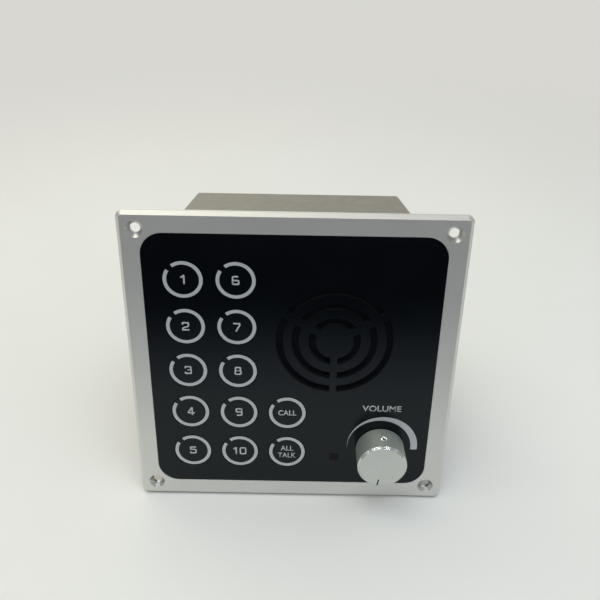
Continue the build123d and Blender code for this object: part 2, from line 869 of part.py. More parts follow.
# Set screw with a hexagon socket
with BuildPart() as knob_set_screw:
    screw_inner = flat_distance + shaft_clearance
    with BuildSketch(screw_plane.offset(screw_inner)):
        Circle(set_screw_hole / 2 - shaft_clearance)
    extrude(amount=set_screw_length)
    with BuildSketch(screw_plane.offset(screw_inner + set_screw_length)):
        RegularPolygon(set_screw_socket / 2, 6, major_radius=False)
    extrude(amount=-set_screw_socket, mode=Mode.SUBTRACT)
knob_set_screw.part.label = "knob_set_screw"
export_step(knob_set_screw.part, "parts/knob_set_screw.step")

# Folded rear box: four sides and a back, lips above and below, windows for the terminals.
# The sides draw in towards the back, so the box finds its cut-out by itself, and the whole box
# stands a little to the right of the plate's middle.
line_length = line_ways * terminal_pitch + 2 * terminal_end
power_length = power_ways * terminal_pitch + 2 * terminal_end
terminal_blocks = {
    "line_terminal_upper": (0.0, line_upper_z, line_ways, line_length),
    "line_terminal_lower": (0.0, line_lower_z, line_ways, line_length),
    "power_terminal": (power_x, power_z, power_ways, power_length),
}
with BuildPart() as rear_box:
    for depth, wall, mode in ((box_depth, 0, Mode.ADD), (box_inner_back, box_wall, Mode.SUBTRACT)):
        with BuildSketch(layer(depth, box_x)):
            RectangleRounded(
                box_width - 2 * box_taper - 2 * wall, box_height - 2 * wall, box_corner - wall
            )
        with BuildSketch(layer(taper_start, box_x)):
            RectangleRounded(box_width - 2 * wall, box_height - 2 * wall, box_corner - wall)
        loft(mode=mode)
        with BuildSketch(layer(taper_start, box_x)):
            RectangleRounded(box_width - 2 * wall, box_height - 2 * wall, box_corner - wall)
        extrude(amount=taper_start, mode=mode)
    with BuildSketch(layer(box_wall)):
        for side in (-1, 1):
            with Locations((0, side * (box_height / 2 + (lip_width - box_wall) / 2))):
                Rectangle(lip_length, lip_width + box_wall)
        with Locations(*box_studs):
            Circle(stud_diameter / 2 + 2 * stud_clearance, mode=Mode.SUBTRACT)
    extrude(amount=box_wall)
    with BuildSketch(layer(box_depth)):
        for block_x, block_z, ways, block_length in terminal_blocks.values():
            with Locations((block_x, block_z)):
                Rectangle(
                    block_length + 2 * terminal_window_clearance,
                    terminal_height + 2 * terminal_window_clearance,
                )
        with Locations((earth_x, earth_z)):
            Circle(earth_diameter / 2 + stud_clearance)
        with GridLocations(2 * pillar_x, 2 * pillar_z, 2, 2):
            Circle(stud_diameter / 2 + stud_clearance)
        with Locations((0, vent_z)):
            with GridLocations(vent_pitch, vent_pitch, vent_count, 1):
                SlotOverall(vent_length, vent_width, rotation=90)
    extrude(amount=box_wall, mode=Mode.SUBTRACT)
rear_box.part.label = "rear_box"
export_step(rear_box.part, "parts/rear_box.step")

# Main board, its hexagonal pillars and their screws
with BuildPart() as main_board:
    with BuildSketch(layer(main_board_back)):
        RectangleRounded(main_board_width, main_board_height, board_corner)
        with GridLocations(2 * pillar_x, 2 * pillar_z, 2, 2):
            Circle(stud_diameter / 2 + 2 * stud_clearance, mode=Mode.SUBTRACT)
    extrude(amount=board_thickness)
main_board.part.label = "main_board"
export_step(main_board.part, "parts/main_board.step")

with BuildPart() as board_pillars:
    with BuildSketch(layer(box_inner_back)):
        with GridLocations(2 * pillar_x, 2 * pillar_z, 2, 2):
            RegularPolygon(pillar_flats / 2, 6, major_radius=False)
            Circle(stud_diameter / 2 + stud_clearance, mode=Mode.SUBTRACT)
    extrude(amount=pillar_length)
board_pillars.part.label = "board_pillars"
export_step(board_pillars.part, "parts/board_pillars.step")

# Pan-head screws into both ends of every pillar
with BuildPart() as pillar_screws:
    for head_seat, outward in ((main_board_front, -1), (box_depth, 1)):
        head_top = head_seat + outward * screw_head_height
        with BuildSketch(layer(head_top)):
            with GridLocations(2 * pillar_x, 2 * pillar_z, 2, 2):
                Circle(screw_head_diameter / 2)
        extrude(amount=outward * screw_head_height)
        head_faces = pillar_screws.faces().filter_by(
            lambda face: abs(face.center().Y - head_top) < 0.01
        )
        fillet([edge for face in head_faces for edge in face.edges()], screw_head_round)
        with BuildSketch(layer(head_seat)):
            with GridLocations(2 * pillar_x, 2 * pillar_z, 2, 2):
                Circle(stud_diameter / 2)
        extrude(amount=outward * screw_length)
        with BuildSketch(layer(head_top)):
            with GridLocations(2 * pillar_x, 2 * pillar_z, 2, 2):
                Rectangle(cross_length, cross_width)
                Rectangle(cross_width, cross_length)
        extrude(amount=outward * cross_depth, mode=Mode.SUBTRACT)
pillar_screws.part.label = "pillar_screws"
export_step(pillar_screws.part, "parts/pillar_screws.step")

# Wiring terminal blocks: square wire entries at the back and a clamp screw above each
terminal_back = box_depth + terminal_stand_out
for block_name, (block_x, block_z, ways, block_length) in terminal_blocks.items():
    with BuildPart() as block:
        with BuildSketch(layer(terminal_back, block_x, block_z)):
            Rectangle(block_length, terminal_height)
        extrude(amount=terminal_back - main_board_back)
        with BuildSketch(layer(terminal_back, block_x, block_z - terminal_entry_drop)):
            with GridLocations(terminal_pitch, terminal_pitch, ways, 1):
                Rectangle(terminal_entry, terminal_entry)
        extrude(amount=terminal_entry_depth, mode=Mode.SUBTRACT)
        screw_top = Plane(
            origin=(block_x, terminal_back - terminal_screw_inset, block_z + terminal_height / 2)
        )
        with BuildSketch(screw_top):
            with GridLocations(terminal_pitch, terminal_pitch, ways, 1):
                Circle(terminal_screw / 2)
        extrude(amount=-terminal_screw_depth, mode=Mode.SUBTRACT)
    block.part.label = block_name
    export_step(block.part, f"parts/{block_name}.step")

with BuildPart() as terminal_screws:
    for block_x, block_z, ways, block_length in terminal_blocks.values():
        screw_floor = Plane(
            origin=(
                block_x,
                terminal_back - terminal_screw_inset,
                block_z + terminal_height / 2 - terminal_screw_depth,
            )
        )
        with BuildSketch(screw_floor):
            with GridLocations(terminal_pitch, terminal_pitch, ways, 1):
                Circle(terminal_screw / 2 - stud_clearance)
        extrude(amount=terminal_screw_height)
        with BuildSketch(screw_floor.offset(terminal_screw_height)):
            with GridLocations(terminal_pitch, terminal_pitch, ways, 1):
                Rectangle(terminal_screw, terminal_slot_width)
        extrude(amount=-terminal_slot_depth, mode=Mode.SUBTRACT)
terminal_screws.part.label = "terminal_screws"
export_step(terminal_screws.part, "parts/terminal_screws.step")

# Earth stud with its head inside the box, and two washers and a nut outside
with BuildPart() as earth_stud:
    with BuildSketch(layer(box_inner_back, earth_x, earth_z)):
        Circle(earth_head_diameter / 2)
    extrude(amount=earth_head_height)
    with BuildSketch(layer(box_depth + earth_length, earth_x, earth_z)):
        Circle(earth_diameter / 2)
    extrude(amount=earth_length + box_wall)
    chamfer(earth_stud.faces().sort_by(Axis.Y)[-1].edges(), earth_chamfer)
earth_stud.part.label = "earth_stud"
export_step(earth_stud.part, "parts/earth_stud.step")

with BuildPart() as earth_nut:
    with BuildSketch(layer(box_depth + earth_washer_thickness, earth_x, earth_z)):
        Circle(earth_washer_diameter / 2)
    extrude(amount=earth_washer_thickness)
    nut_back = box_depth + earth_washer_thickness + earth_nut_height
    with BuildSketch(layer(nut_back, earth_x, earth_z)):
        RegularPolygon(earth_nut_flats / 2, 6, major_radius=False)
    extrude(amount=earth_nut_height)
    with BuildSketch(layer(nut_back, earth_x, earth_z)):
        Circle(earth_diameter / 2 + stud_clearance)
    extrude(amount=nut_back - box_depth, mode=Mode.SUBTRACT)
earth_nut.part.label = "earth_nut"
export_step(earth_nut.part, "parts/earth_nut.step")

# Ribbon cable: an open-topped header on each board, a socket in each, and the cable between
header_ends = {
    "keypad": (board_back, 1, keypad_header_z),
    "main": (main_board_front, -1, main_header_z),
}
with BuildPart() as ribbon_headers:
    for seat, outward, header_z in header_ends.values():
        with BuildSketch(layer(seat + outward * header_height, ribbon_x, header_z)):
            Rectangle(header_length, header_width)
        extrude(amount=outward * header_height)
        with BuildSketch(layer(seat + outward * header_height, ribbon_x, header_z)):
            Rectangle(header_length - 2 * header_wall, header_width - 2 * header_wall)
        extrude(amount=outward * (header_height - header_wall), mode=Mode.SUBTRACT)
ribbon_headers.part.label = "ribbon_headers"
export_step(ribbon_headers.part, "parts/ribbon_headers.step")

with BuildPart() as ribbon_sockets:
    for seat, outward, header_z in header_ends.values():
        socket_front = seat + outward * (header_wall + socket_height)
        with BuildSketch(layer(socket_front, ribbon_x, header_z)):
            Rectangle(socket_length, socket_width)
        extrude(amount=outward * socket_height)
        with BuildSketch(layer(socket_front - outward * socket_slot, ribbon_x, header_z)):
            Rectangle(ribbon_width + 2 * ribbon_fit, socket_width)
        extrude(amount=outward * (ribbon_thickness + 2 * ribbon_fit), mode=Mode.SUBTRACT)
ribbon_sockets.part.label = "ribbon_sockets"
export_step(ribbon_sockets.part, "parts/ribbon_sockets.step")

ribbon_front = board_back + header_wall + socket_height - socket_slot - ribbon_fit
ribbon_rear = main_board_front - header_wall - socket_height + socket_slot + ribbon_fit
ribbon_radius = (ribbon_rear - ribbon_front) / 2 + ribbon_thickness
with BuildPart() as ribbon_cable:
    with BuildSketch(Plane.YZ.offset(ribbon_x - ribbon_width / 2)):
        with Locations(((ribbon_front + ribbon_rear) / 2, ribbon_turn_z)):
            Circle(ribbon_radius)
            Circle(ribbon_radius - ribbon_thickness, mode=Mode.SUBTRACT)
            Rectangle(
                2 * ribbon_radius,
                ribbon_radius,
                align=(Align.CENTER, Align.MIN),
                mode=Mode.SUBTRACT,
            )
        for strip_y, socket_z in (
            (ribbon_front - ribbon_thickness / 2, keypad_header_z),
            (ribbon_rear + ribbon_thickness / 2, main_header_z),
        ):
            strip_top = socket_z + socket_width / 2
            with Locations((strip_y, (ribbon_turn_z + strip_top) / 2)):
                Rectangle(ribbon_thickness, strip_top - ribbon_turn_z)
    extrude(amount=ribbon_width)
ribbon_cable.part.label = "ribbon_cable"
export_step(ribbon_cable.part, "parts/ribbon_cable.step")

# Flat leads to the main board, each with a gentle double bend and a moulded plug at the far end
plug_front = main_board_front - plug_length
lead_sets = {
    "speaker_lead": (
        speaker_x,
        speaker_lead_width,
        (basket_front + speaker_tag_length, speaker_tag_z),
        speaker_plug_z,
    ),
    "volume_lead": (
        knob_x,
        volume_lead_width,
        (pot_depth + pot_tag_length, knob_z),
        volume_plug_z,
    ),
}
for lead_name, (lead_x, lead_width, (start_y, start_z), plug_z) in lead_sets.items():
    run = plug_front - start_y
    with BuildPart() as lead:
        with BuildSketch(Plane.YZ.offset(lead_x - lead_width / 2)):
            with BuildLine() as lead_route:
                FilletPolyline(
                    (start_y, start_z),
                    (start_y + run * lead_straight_share, start_z),
                    (plug_front - run * lead_straight_share, plug_z),
                    (plug_front, plug_z),
                    radius=lead_bend,
                )
            trace(lead_route.line, line_width=lead_thickness)
        extrude(amount=lead_width)
        with BuildSketch(layer(main_board_front, lead_x, plug_z)):
            Rectangle(plug_width, plug_height)
        extrude(amount=plug_length)
    lead.part.label = lead_name
    export_step(lead.part, f"parts/{lead_name}.step")

# Can capacitors in a row
with BuildPart() as capacitors:
    with BuildSketch(layer(main_board_front, capacitor_x, capacitor_z)):
        with GridLocations(capacitor_spacing, capacitor_spacing, capacitor_count, 1):
            Circle(capacitor_diameter / 2)
    extrude(amount=capacitor_height)
    capacitor_tops = capacitors.faces().group_by(Axis.Y)[0]
    fillet([edge for face in capacitor_tops for edge in face.edges()], capacitor_round)
capacitors.part.label = "capacitors"
export_step(capacitors.part, "parts/capacitors.step")

# Line relays in two rows
with BuildPart() as line_relays:
    with BuildSketch(layer(main_board_front, relay_x, relay_z)):
        with GridLocations(relay_pitch_x, relay_pitch_z, relay_columns, relay_rows):
            Rectangle(relay_width, relay_length)
    extrude(amount=relay_height)
line_relays.part.label = "line_relays"
export_step(line_relays.part, "parts/line_relays.step")

# Potted line transformer
with BuildPart() as line_transformer:
    with BuildSketch(layer(main_board_front, transformer_x, transformer_z)):
        Rectangle(transformer_width, transformer_height)
    extrude(amount=transformer_depth)
    fillet(line_transformer.edges().filter_by(Axis.Y), transformer_round)
line_transformer.part.label = "line_transformer"
export_step(line_transformer.part, "parts/line_transformer.step")

# Finned heat sink standing on the board, with the amplifier against its base
with BuildPart() as heat_sink:
    fin_pitch = (heat_sink_width - heat_sink_fin) / (heat_sink_fins - 1)
    with BuildSketch(layer(main_board_front, heat_sink_x, heat_sink_z)):
        Rectangle(heat_sink_base, heat_sink_width, align=(Align.MIN, Align.CENTER))
        with Locations((heat_sink_base, 0)):
            with GridLocations(fin_pitch, fin_pitch, 1, heat_sink_fins):
                Rectangle(heat_sink_fin_length, heat_sink_fin, align=(Align.MIN, Align.CENTER))
    extrude(amount=heat_sink_depth)
heat_sink.part.label = "heat_sink"
export_step(heat_sink.part, "parts/heat_sink.step")

with BuildPart() as amplifier_chip:
    amplifier_x = heat_sink_x - amplifier_thickness / 2
    with BuildSketch(layer(main_board_front - amplifier_leg, amplifier_x, heat_sink_z)):
        Rectangle(amplifier_thickness, amplifier_width)
    extrude(amount=amplifier_height)
    with BuildSketch(layer(main_board_front, amplifier_x, heat_sink_z)):
        with GridLocations(amplifier_leg_pitch, amplifier_leg_pitch, 1, amplifier_legs):
            Rectangle(amplifier_leg_width, amplifier_leg_width)
    extrude(amount=amplifier_leg)
amplifier_chip.part.label = "amplifier_chip"
export_step(amplifier_chip.part, "parts/amplifier_chip.step")

# Logic chips in a row
with BuildPart() as logic_chips:
    with BuildSketch(layer(main_board_front, chip_x, chip_z)):
        with GridLocations(chip_spacing, chip_spacing, chip_count, 1):
            Rectangle(chip_width, chip_length)
    extrude(amount=chip_height)
logic_chips.part.label = "logic_chips"
export_step(logic_chips.part, "parts/logic_chips.step")
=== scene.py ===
# %% [markdown]
# # An intercom master station
#
# The station is a square aluminium plate that is screwed to a console. A black film carries the
# round keys, the slots of a loudspeaker, a small window and a volume knob, and a grey sheet box
# stands behind it. The engineering model gives every piece its exact shape and place. This lesson
# adds what that model doesn't have: the surfaces, the printing, the soft pieces at the keys and
# round the cone cut apart into pieces of their own, the light and the camera.
#
# Everything is in metres. +X is the user's right, +Z is up and +Y goes into the console, and the
# middle of the plate's rear face is at zero.

# %% Load the engineering model
from math import atan2, cos, degrees, pi, radians, sin

import bpy
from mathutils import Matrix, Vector


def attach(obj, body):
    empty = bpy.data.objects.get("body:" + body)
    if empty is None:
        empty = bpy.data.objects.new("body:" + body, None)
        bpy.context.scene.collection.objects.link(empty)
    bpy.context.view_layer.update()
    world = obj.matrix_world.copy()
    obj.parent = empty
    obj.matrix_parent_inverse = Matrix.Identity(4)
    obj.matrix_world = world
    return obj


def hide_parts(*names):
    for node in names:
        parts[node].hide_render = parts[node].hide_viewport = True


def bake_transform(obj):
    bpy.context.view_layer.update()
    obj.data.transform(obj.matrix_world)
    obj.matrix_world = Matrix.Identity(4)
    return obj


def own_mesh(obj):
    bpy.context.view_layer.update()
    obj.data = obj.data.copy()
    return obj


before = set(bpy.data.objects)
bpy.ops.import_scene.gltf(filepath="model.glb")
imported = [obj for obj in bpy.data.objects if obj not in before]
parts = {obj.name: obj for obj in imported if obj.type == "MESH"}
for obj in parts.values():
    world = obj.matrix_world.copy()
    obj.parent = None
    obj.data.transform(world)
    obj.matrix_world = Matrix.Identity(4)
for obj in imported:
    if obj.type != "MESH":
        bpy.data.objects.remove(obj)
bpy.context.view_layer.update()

MM = 0.001
print("pieces loaded:", len(parts))

# %% [markdown]
# ## The camera
#
# The photograph was taken by hand, a good 30 cm away and looking down at the plate by about 26
# degrees. The place, the turn and the lens below come from matching the plate's corners, the
# corner holes, the key rings and the knob with their pixels, so the picture lines up piece by
# piece. The small shift stands for a photograph that was cropped a little off its middle.

# %% Set up the camera
bpy.ops.object.camera_add(
    location=(2.1155 * MM, -268.3632 * MM, 164.9794 * MM),
    rotation=(radians(63.8273), radians(-0.8837), radians(0.5039)),
)
camera = bpy.context.object
camera.name = "photo_camera"
camera.data.sensor_width = 36.0
camera.data.lens = 42.278
camera.data.shift_x = 0.00335
camera.data.shift_y = -0.00184
camera.data.clip_start = 0.01
camera.data.clip_end = 20.0
bpy.context.scene.camera = camera
print("camera at", [round(c / MM, 1) for c in camera.location], "mm")

# %% [markdown]
# ## A way to write shader maths
#
# A material in Blender is a graph of nodes. Adding each node by hand makes long code, so `Value`
# wraps one socket and lets `1 - mask * 0.5` add the Math nodes by itself. It knows its finish, the
# material that it belongs to.

# %% A socket that can be added and multiplied
class Value:
    def __init__(self, finish, socket):
        self.finish = finish
        self.socket = socket

    def maths(self, operation, first, second):
        return self.finish.node("ShaderNodeMath", {"operation": operation}, {0: first, 1: second})

    def __add__(self, other):
        return self.maths("ADD", self, other)

    def __sub__(self, other):
        return self.maths("SUBTRACT", self, other)

    def __rsub__(self, other):
        return self.maths("SUBTRACT", other, self)

    def __mul__(self, other):
        return self.maths("MULTIPLY", self, other)

    def __lt__(self, other):
        return self.maths("LESS_THAN", self, other)

    def __gt__(self, other):
        return self.maths("GREATER_THAN", self, other)

    def __abs__(self):
        return self.maths("ABSOLUTE", self, 0.0)

    def sine(self):
        return self.maths("SINE", self, 0.0)

    __radd__ = __add__


# %% [markdown]
# ## Helpers for patterns
#
# Every pattern is measured in millimetres on the object, so a grain of 0.2 mm stays 0.2 mm on any
# piece. These helpers are used by nearly all finishes: a cloudy noise, and a number or a colour
# between two others. The colours of a blend are written as a screen shows them, from 0 to 255.

# %% Patterns measured in millimetres
def axes(place):
    """The three numbers of a place."""
    split = place.finish.node("ShaderNodeSeparateXYZ", {}, {0: place})
    outputs = split.socket.node.outputs
    return [Value(place.finish, outputs[name]) for name in "XYZ"]


def clouds(place, size, detail=3.0, roughness=0.55):
    """Noise from 0 to 1 whose blotches are about size millimetres across."""
    return place.finish.node(
        "ShaderNodeTexNoise",
        {},
        {"Vector": place, "Scale": 1.0 / size, "Detail": detail, "Roughness": roughness},
    )


def between(amount, low, high):
    """A number that goes from low to high as amount goes from 0 to 1."""
    return amount.finish.node(
        "ShaderNodeMapRange", {}, {"Value": amount, "To Min": low, "To Max": high}
    )


def ramp_between(value, start, end):
    """0 below start, 1 above end, and a smooth step between."""
    return value.finish.node(
        "ShaderNodeMapRange",
        {"interpolation_type": "SMOOTHSTEP"},
        {"Value": value, "From Min": start, "From Max": end},
    )


def rgb(red, green, blue):
    """A colour as a screen shows it, from 0 to 255, turned into the amounts of light."""
    amounts = []
    for level in (red, green, blue):
        share = level / 255
        amounts.append(share / 12.92 if share <= 0.04045 else ((share + 0.055) / 1.055) ** 2.4)
    return (*amounts, 1.0)


def blend_colours(amount, first, second):
    """The first colour where amount is 0 and the second where it is 1."""
    finish = amount.finish
    mix = finish.node("ShaderNodeMix", {"data_type": "RGBA"}, {"Factor": amount}, output=2)
    for socket, colour in ((6, first), (7, second)):
        given = rgb(*colour) if isinstance(colour, tuple) else colour
        finish.feed(mix.socket.node.inputs[socket], given)
    return mix


# %% [markdown]
# ## One material
#
# `Finish` is one material. Its `node` method adds any node: the settings go first, because some of
# them decide which sockets the node has, and then the values or links of its sockets. Its `place`
# is the place on the object in millimetres, from the object's own coordinates. `colour` and
# `emboss` paint what nearly every finish has, two blended colours and a fine relief.

# %% A material under construction
class Finish:
    def __init__(self, name, **constants):
        self.material = bpy.data.materials.new(name)
        self.material.use_nodes = True
        self.tree = self.material.node_tree
        self.tree.nodes.clear()
        self.shader = self.tree.nodes.new("ShaderNodeBsdfPrincipled")
        output = self.tree.nodes.new("ShaderNodeOutputMaterial")
        self.tree.links.new(self.shader.outputs[0], output.inputs["Surface"])
        for socket_name, value in constants.items():
            self.shader.inputs[socket_name.replace("_", " ")].default_value = value
        self.place = self.stretched_place((1.0, 1.0, 1.0))

    def node(self, kind, settings, inputs, output=0):
        made = self.tree.nodes.new(kind)
        for name, value in settings.items():
            setattr(made, name, value)
        for name, value in inputs.items():
            self.feed(made.inputs[name], value)
        return Value(self, made.outputs[output])

    def feed(self, socket, value):
        if isinstance(value, Value):
            self.tree.links.new(value.socket, socket)
        else:
            socket.default_value = value

    def paint(self, name, value):
        self.feed(self.shader.inputs[name], value)

    def colour(self, amount, first, second):
        """The first colour where amount is 0 and the second where it is 1."""
        self.paint("Base Color", blend_colours(amount, first, second))

    def emboss(self, height, depth_mm):
        """A bump that stands depth_mm high where height is 1 and lies level where it is 0."""
        inputs = {"Height": height, "Distance": depth_mm * MM, "Strength": 1.0}
        self.paint("Normal", self.node("ShaderNodeBump", {}, inputs))

    def stretched_place(self, stretch):
        """The place on the object in millimetres, with each axis stretched by a factor."""
        spot = self.node("ShaderNodeTexCoord", {}, {}, output="Object")
        scale = [1000.0 * factor for factor in stretch]
        return self.node("ShaderNodeVectorMath", {"operation": "MULTIPLY"}, {0: spot, 1: scale})


# %% Put a finish on pieces of the engineering model
covered = set()


def cover(finish, *names):
    covered.update(names)
    for name in names:
        mesh = parts[name].data
        mesh.materials.clear()
        mesh.materials.append(finish.material)
    print(finish.material.name, "on", ", ".join(names))


# %% [markdown]
# ## Helpers for modelling
#
# The operators of Blender act on what is selected and active, so one helper selects a single piece.
# Another moves the place, turn and size of an object into its mesh, which leaves every finished
# object at the origin, unturned and unscaled.

# %% Select a piece and seat it
def clear_selection():
    """Nothing selected, in object mode, so that the next operator acts only on its own piece."""
    if bpy.context.object and bpy.context.object.mode != "OBJECT":
        bpy.ops.object.mode_set(mode="OBJECT")
    bpy.ops.object.select_all(action="DESELECT")


def select_only(piece):
    """One piece selected and active, in object mode."""
    clear_selection()
    piece.select_set(True)
    bpy.context.view_layer.objects.active = piece


def seat_in_mesh(piece):
    """Move the object's place, turn and size into its mesh, so the object sits at the origin."""
    select_only(piece)
    bpy.ops.object.transform_apply(location=True, rotation=True, scale=True)


# %% [markdown]
# ## The floor and the backdrop
#
# The station leans back on its own weight: it rests on the bottom edge of the plate and on the
# lower rear edge of its box. The model stays upright, so the floor is tilted instead, under those
# two edges. The backdrop is the same pale paper, curved up far behind. A camera ray sees the paper
# in the pale tone of the photograph, and so do the reflections in the metal, while the object
# still gets only the light of the lamps from it.

# %% Measures of the floor
floor_tilt = radians(12.45)
floor_height = -72.0 * MM
floor_near = 1.6
floor_far = 0.75
floor_half_width = 2.2
rise_radius = 0.5
rise_turn = radians(70)
rise_steps = 24
rise_height = 1.6


def lay_on_floor(piece, lift=0.0):
    """Tilt a level piece with the floor and lower it to the floor's height."""
    piece.rotation_euler = (floor_tilt, 0, 0)
    piece.location = (0, 0, floor_height + lift)
    seat_in_mesh(piece)


# %% Sweep the paper
clear_selection()
bpy.ops.mesh.primitive_plane_add(size=1.0, location=(0, 0, 0))
paper = bpy.context.object
paper.name = "paper_sweep"
paper.dimensions = (2 * floor_half_width, floor_near + floor_far, 0)
paper.location = (0, (floor_far - floor_near) / 2, 0)
seat_in_mesh(paper)
bpy.ops.object.mode_set(mode="EDIT")
bpy.ops.mesh.select_mode(type="EDGE")
bpy.ops.mesh.select_all(action="DESELECT")
bpy.ops.object.mode_set(mode="OBJECT")
for edge in paper.data.edges:
    ends = [paper.data.vertices[index].co.y for index in edge.vertices]
    edge.select = min(ends) > floor_far - 0.001
bpy.ops.object.mode_set(mode="EDIT")
bpy.ops.mesh.spin(
    steps=rise_steps, angle=-rise_turn, center=(0, floor_far, rise_radius), axis=(1, 0, 0)
)
bpy.ops.mesh.extrude_region_move(
    TRANSFORM_OT_translate={"value": (0, rise_height * cos(rise_turn), rise_height)}
)
bpy.ops.object.mode_set(mode="OBJECT")
lay_on_floor(paper)
bpy.ops.object.shade_smooth()
print("paper reaches", [round(c, 2) for c in paper.dimensions], "m")

# %% [markdown]
# The paper is matt, with the faint mottling of card. Near the station it shows only the light of
# the lamps, and so the soft shadow. Further away, where the lamps grow weak, the camera and the
# mirroring metal see an even pale grey instead: the Light Path node tells which ray is asking, and
# a Mix Shader goes over to the even tone with the distance.

# %% Paper finish
pale_tone = rgb(216, 215, 210)
tone_start = 260.0
tone_end = 620.0

card = Finish("pale_card", Roughness=0.9, Specular_IOR_Level=0.1)
card_mottle = clouds(card.place, 90.0, detail=2.0)
card.colour(card_mottle, (219, 218, 212), (224, 223, 218))
card.emboss(clouds(card.place, 1.2), 0.04)


def seen_directly(finish):
    """1 for a ray from the camera, or one that a shiny or clear surface sends on, else 0."""
    path = finish.node("ShaderNodeLightPath", {}, {})
    outputs = path.socket.node.outputs
    from_camera, from_shine, through_clear = (
        Value(finish, outputs[f"Is {kind} Ray"]) for kind in ("Camera", "Glossy", "Transmission")
    )
    return from_camera + from_shine + through_clear > 0.5


card_distance = card.node(
    "ShaderNodeVectorMath", {"operation": "LENGTH"}, {0: card.place}, output="Value"
)
even_tone = card.node("ShaderNodeEmission", {}, {"Color": pale_tone, "Strength": 1.0})
card_mix = card.node(
    "ShaderNodeMixShader",
    {},
    {
        0: ramp_between(card_distance, tone_start, tone_end) * seen_directly(card),
        1: Value(card, card.shader.outputs[0]),
        2: even_tone,
    },
)
card_output = card.tree.nodes["Material Output"]
card.tree.links.new(card_mix.socket, card_output.inputs["Surface"])
paper.data.materials.append(card.material)
print("paper finish ready")

# %% [markdown]
# ## What the front reflects
#
# The plate and the film lean back and mirror the table in front of them: bright close by, and dark
# further out, under the camera and behind it. A dark mat on the floor in front gives that
# reflection. It is part of the stage and the camera doesn't see it.

# %% Lay the dark mat
mat_width = 2.4
mat_start = -0.15
mat_end = -1.5
mat_lift = 2 * MM
bright_end = -140.0
dark_start = -350.0

clear_selection()
bpy.ops.mesh.primitive_grid_add(x_subdivisions=2, y_subdivisions=2, size=1.0)
dark_mat = bpy.context.object
dark_mat.name = "dark_mat"
dark_mat.dimensions = (mat_width, mat_start - mat_end, 0)
dark_mat.location = (0, (mat_start + mat_end) / 2, 0)
seat_in_mesh(dark_mat)
lay_on_floor(dark_mat, mat_lift)
dark_mat.visible_camera = False
dark_mat.visible_shadow = False
dark_mat.visible_diffuse = False

felt = Finish("dark_felt", Roughness=1.0, Specular_IOR_Level=0.0)
felt_depth = ramp_between(axes(felt.place)[1], bright_end, dark_start)
felt.colour(felt_depth, (201, 203, 207), (10, 13, 19))
felt.emboss(clouds(felt.place, 3.0), 0.3)
dark_mat.data.materials.append(felt.material)
print("mat from", mat_start, "to", mat_end, "m")

# %% [markdown]
# ## The light
#
# The shadow lies to the right and in front, soft and a little blue, and the upper bevel is the
# brightest line of the plate, brighter at its left. So the main light is one very large soft lamp
# overhead, to the left and a little behind, slightly warm. A second lamp low at the back left makes
# the shadow in front, and the pale surroundings fill the rest.

# %% Soft lamps
def soft_lamp(name, place, aim, size, power, colour):
    bpy.ops.object.light_add(type="AREA", location=place)
    lamp = bpy.context.object
    lamp.name = name
    lamp.data.shape = "RECTANGLE"
    lamp.data.size = size[0]
    lamp.data.size_y = size[1]
    lamp.data.energy = power
    lamp.data.color = colour
    lamp.rotation_euler = (Vector(aim) - Vector(place)).to_track_quat("-Z", "Y").to_euler()
    print(name, "of", power, "W")
    return lamp


warm = (1.0, 0.95, 0.76)
cool = (0.82, 0.92, 1.0)
soft_lamp("ceiling_lamp", (-0.36, 0.04, 0.88), (-0.2, 0.0, 0.0), (0.6, 0.7), 3.15, warm)
soft_lamp("window_lamp", (-0.45, 0.85, 0.75), (0.0, 0.05, -0.05), (0.9, 0.7), 1.7, warm)
front_fill = soft_lamp("front_fill", (0.05, -0.45, 0.9), (0.0, 0.0, 0.0), (0.8, 0.6), 4.9, cool)
side_fill = soft_lamp("side_fill", (0.6, -0.2, 0.7), (0.1, 0.0, 0.0), (0.9, 0.9), 1.3, cool)
for fill in (front_fill, side_fill):
    fill.visible_glossy = False

# %% [markdown]
# Small lights stand for the bright things in the room that polished edges mirror: the chamfer of
# the knob, the end of its set screw, the lower corner holes and the left end of the upper bevel.
# Each hangs just where its spot of metal mirrors it to the camera, and shows only in reflections.

# %% Glints
white = (1.0, 1.0, 1.0)
chamfer_x, chamfer_y, chamfer_z = 41, -16.5, -42
chamfer_radius = 11
chamfer_glints = {-42: 0.04, -28: 0.08, -15: 0.12, -9: 0.12, 7: 0.1, 30: 0.04}
fixing_place = 64.5


def glint_lamp(name, spot, facing, power, size=0.03):
    """A small light at the place that a polished spot, facing that way, mirrors to the camera."""
    spot = Vector(spot) * MM
    sight = (spot - camera.location).normalized()
    place = spot + sight.reflect(Vector(facing).normalized())
    lamp = soft_lamp(name, place, spot, (size, size), power, white)
    lamp.visible_diffuse = False


for turn, power in chamfer_glints.items():
    across, up = sin(radians(turn)), cos(radians(turn))
    spot = (chamfer_x + chamfer_radius * across, chamfer_y, chamfer_z + chamfer_radius * up)
    glint_lamp(f"glint_{turn}", spot, (across, -1.0, up), power)
glint_lamp("screw_glint", (41.7, -10.4, -31.4), (0.05, -0.43, 0.9), 0.6)
for left_right in (-1, 1):
    spot, facing = (fixing_place * left_right, -2.0, -67.3), (0.12 * left_right, -1.0, 1.0)
    glint_lamp(f"hole_glint_{left_right}", spot, facing, 0.09)
glint_lamp("bevel_glow", (-75.0, -2.0, 71.0), (-0.15, -1.0, 1.0), 0.32, size=0.3)

# %% Light from all round
world = bpy.data.worlds.new("room")
world.use_nodes = True
world_nodes = world.node_tree.nodes
surroundings = world_nodes["Background"]
surroundings.inputs["Color"].default_value = (0.955, 0.955, 1.0, 1.0)
surroundings.inputs["Strength"].default_value = 0.46
bpy.context.scene.world = world
bpy.context.scene.view_settings.view_transform = "Standard"

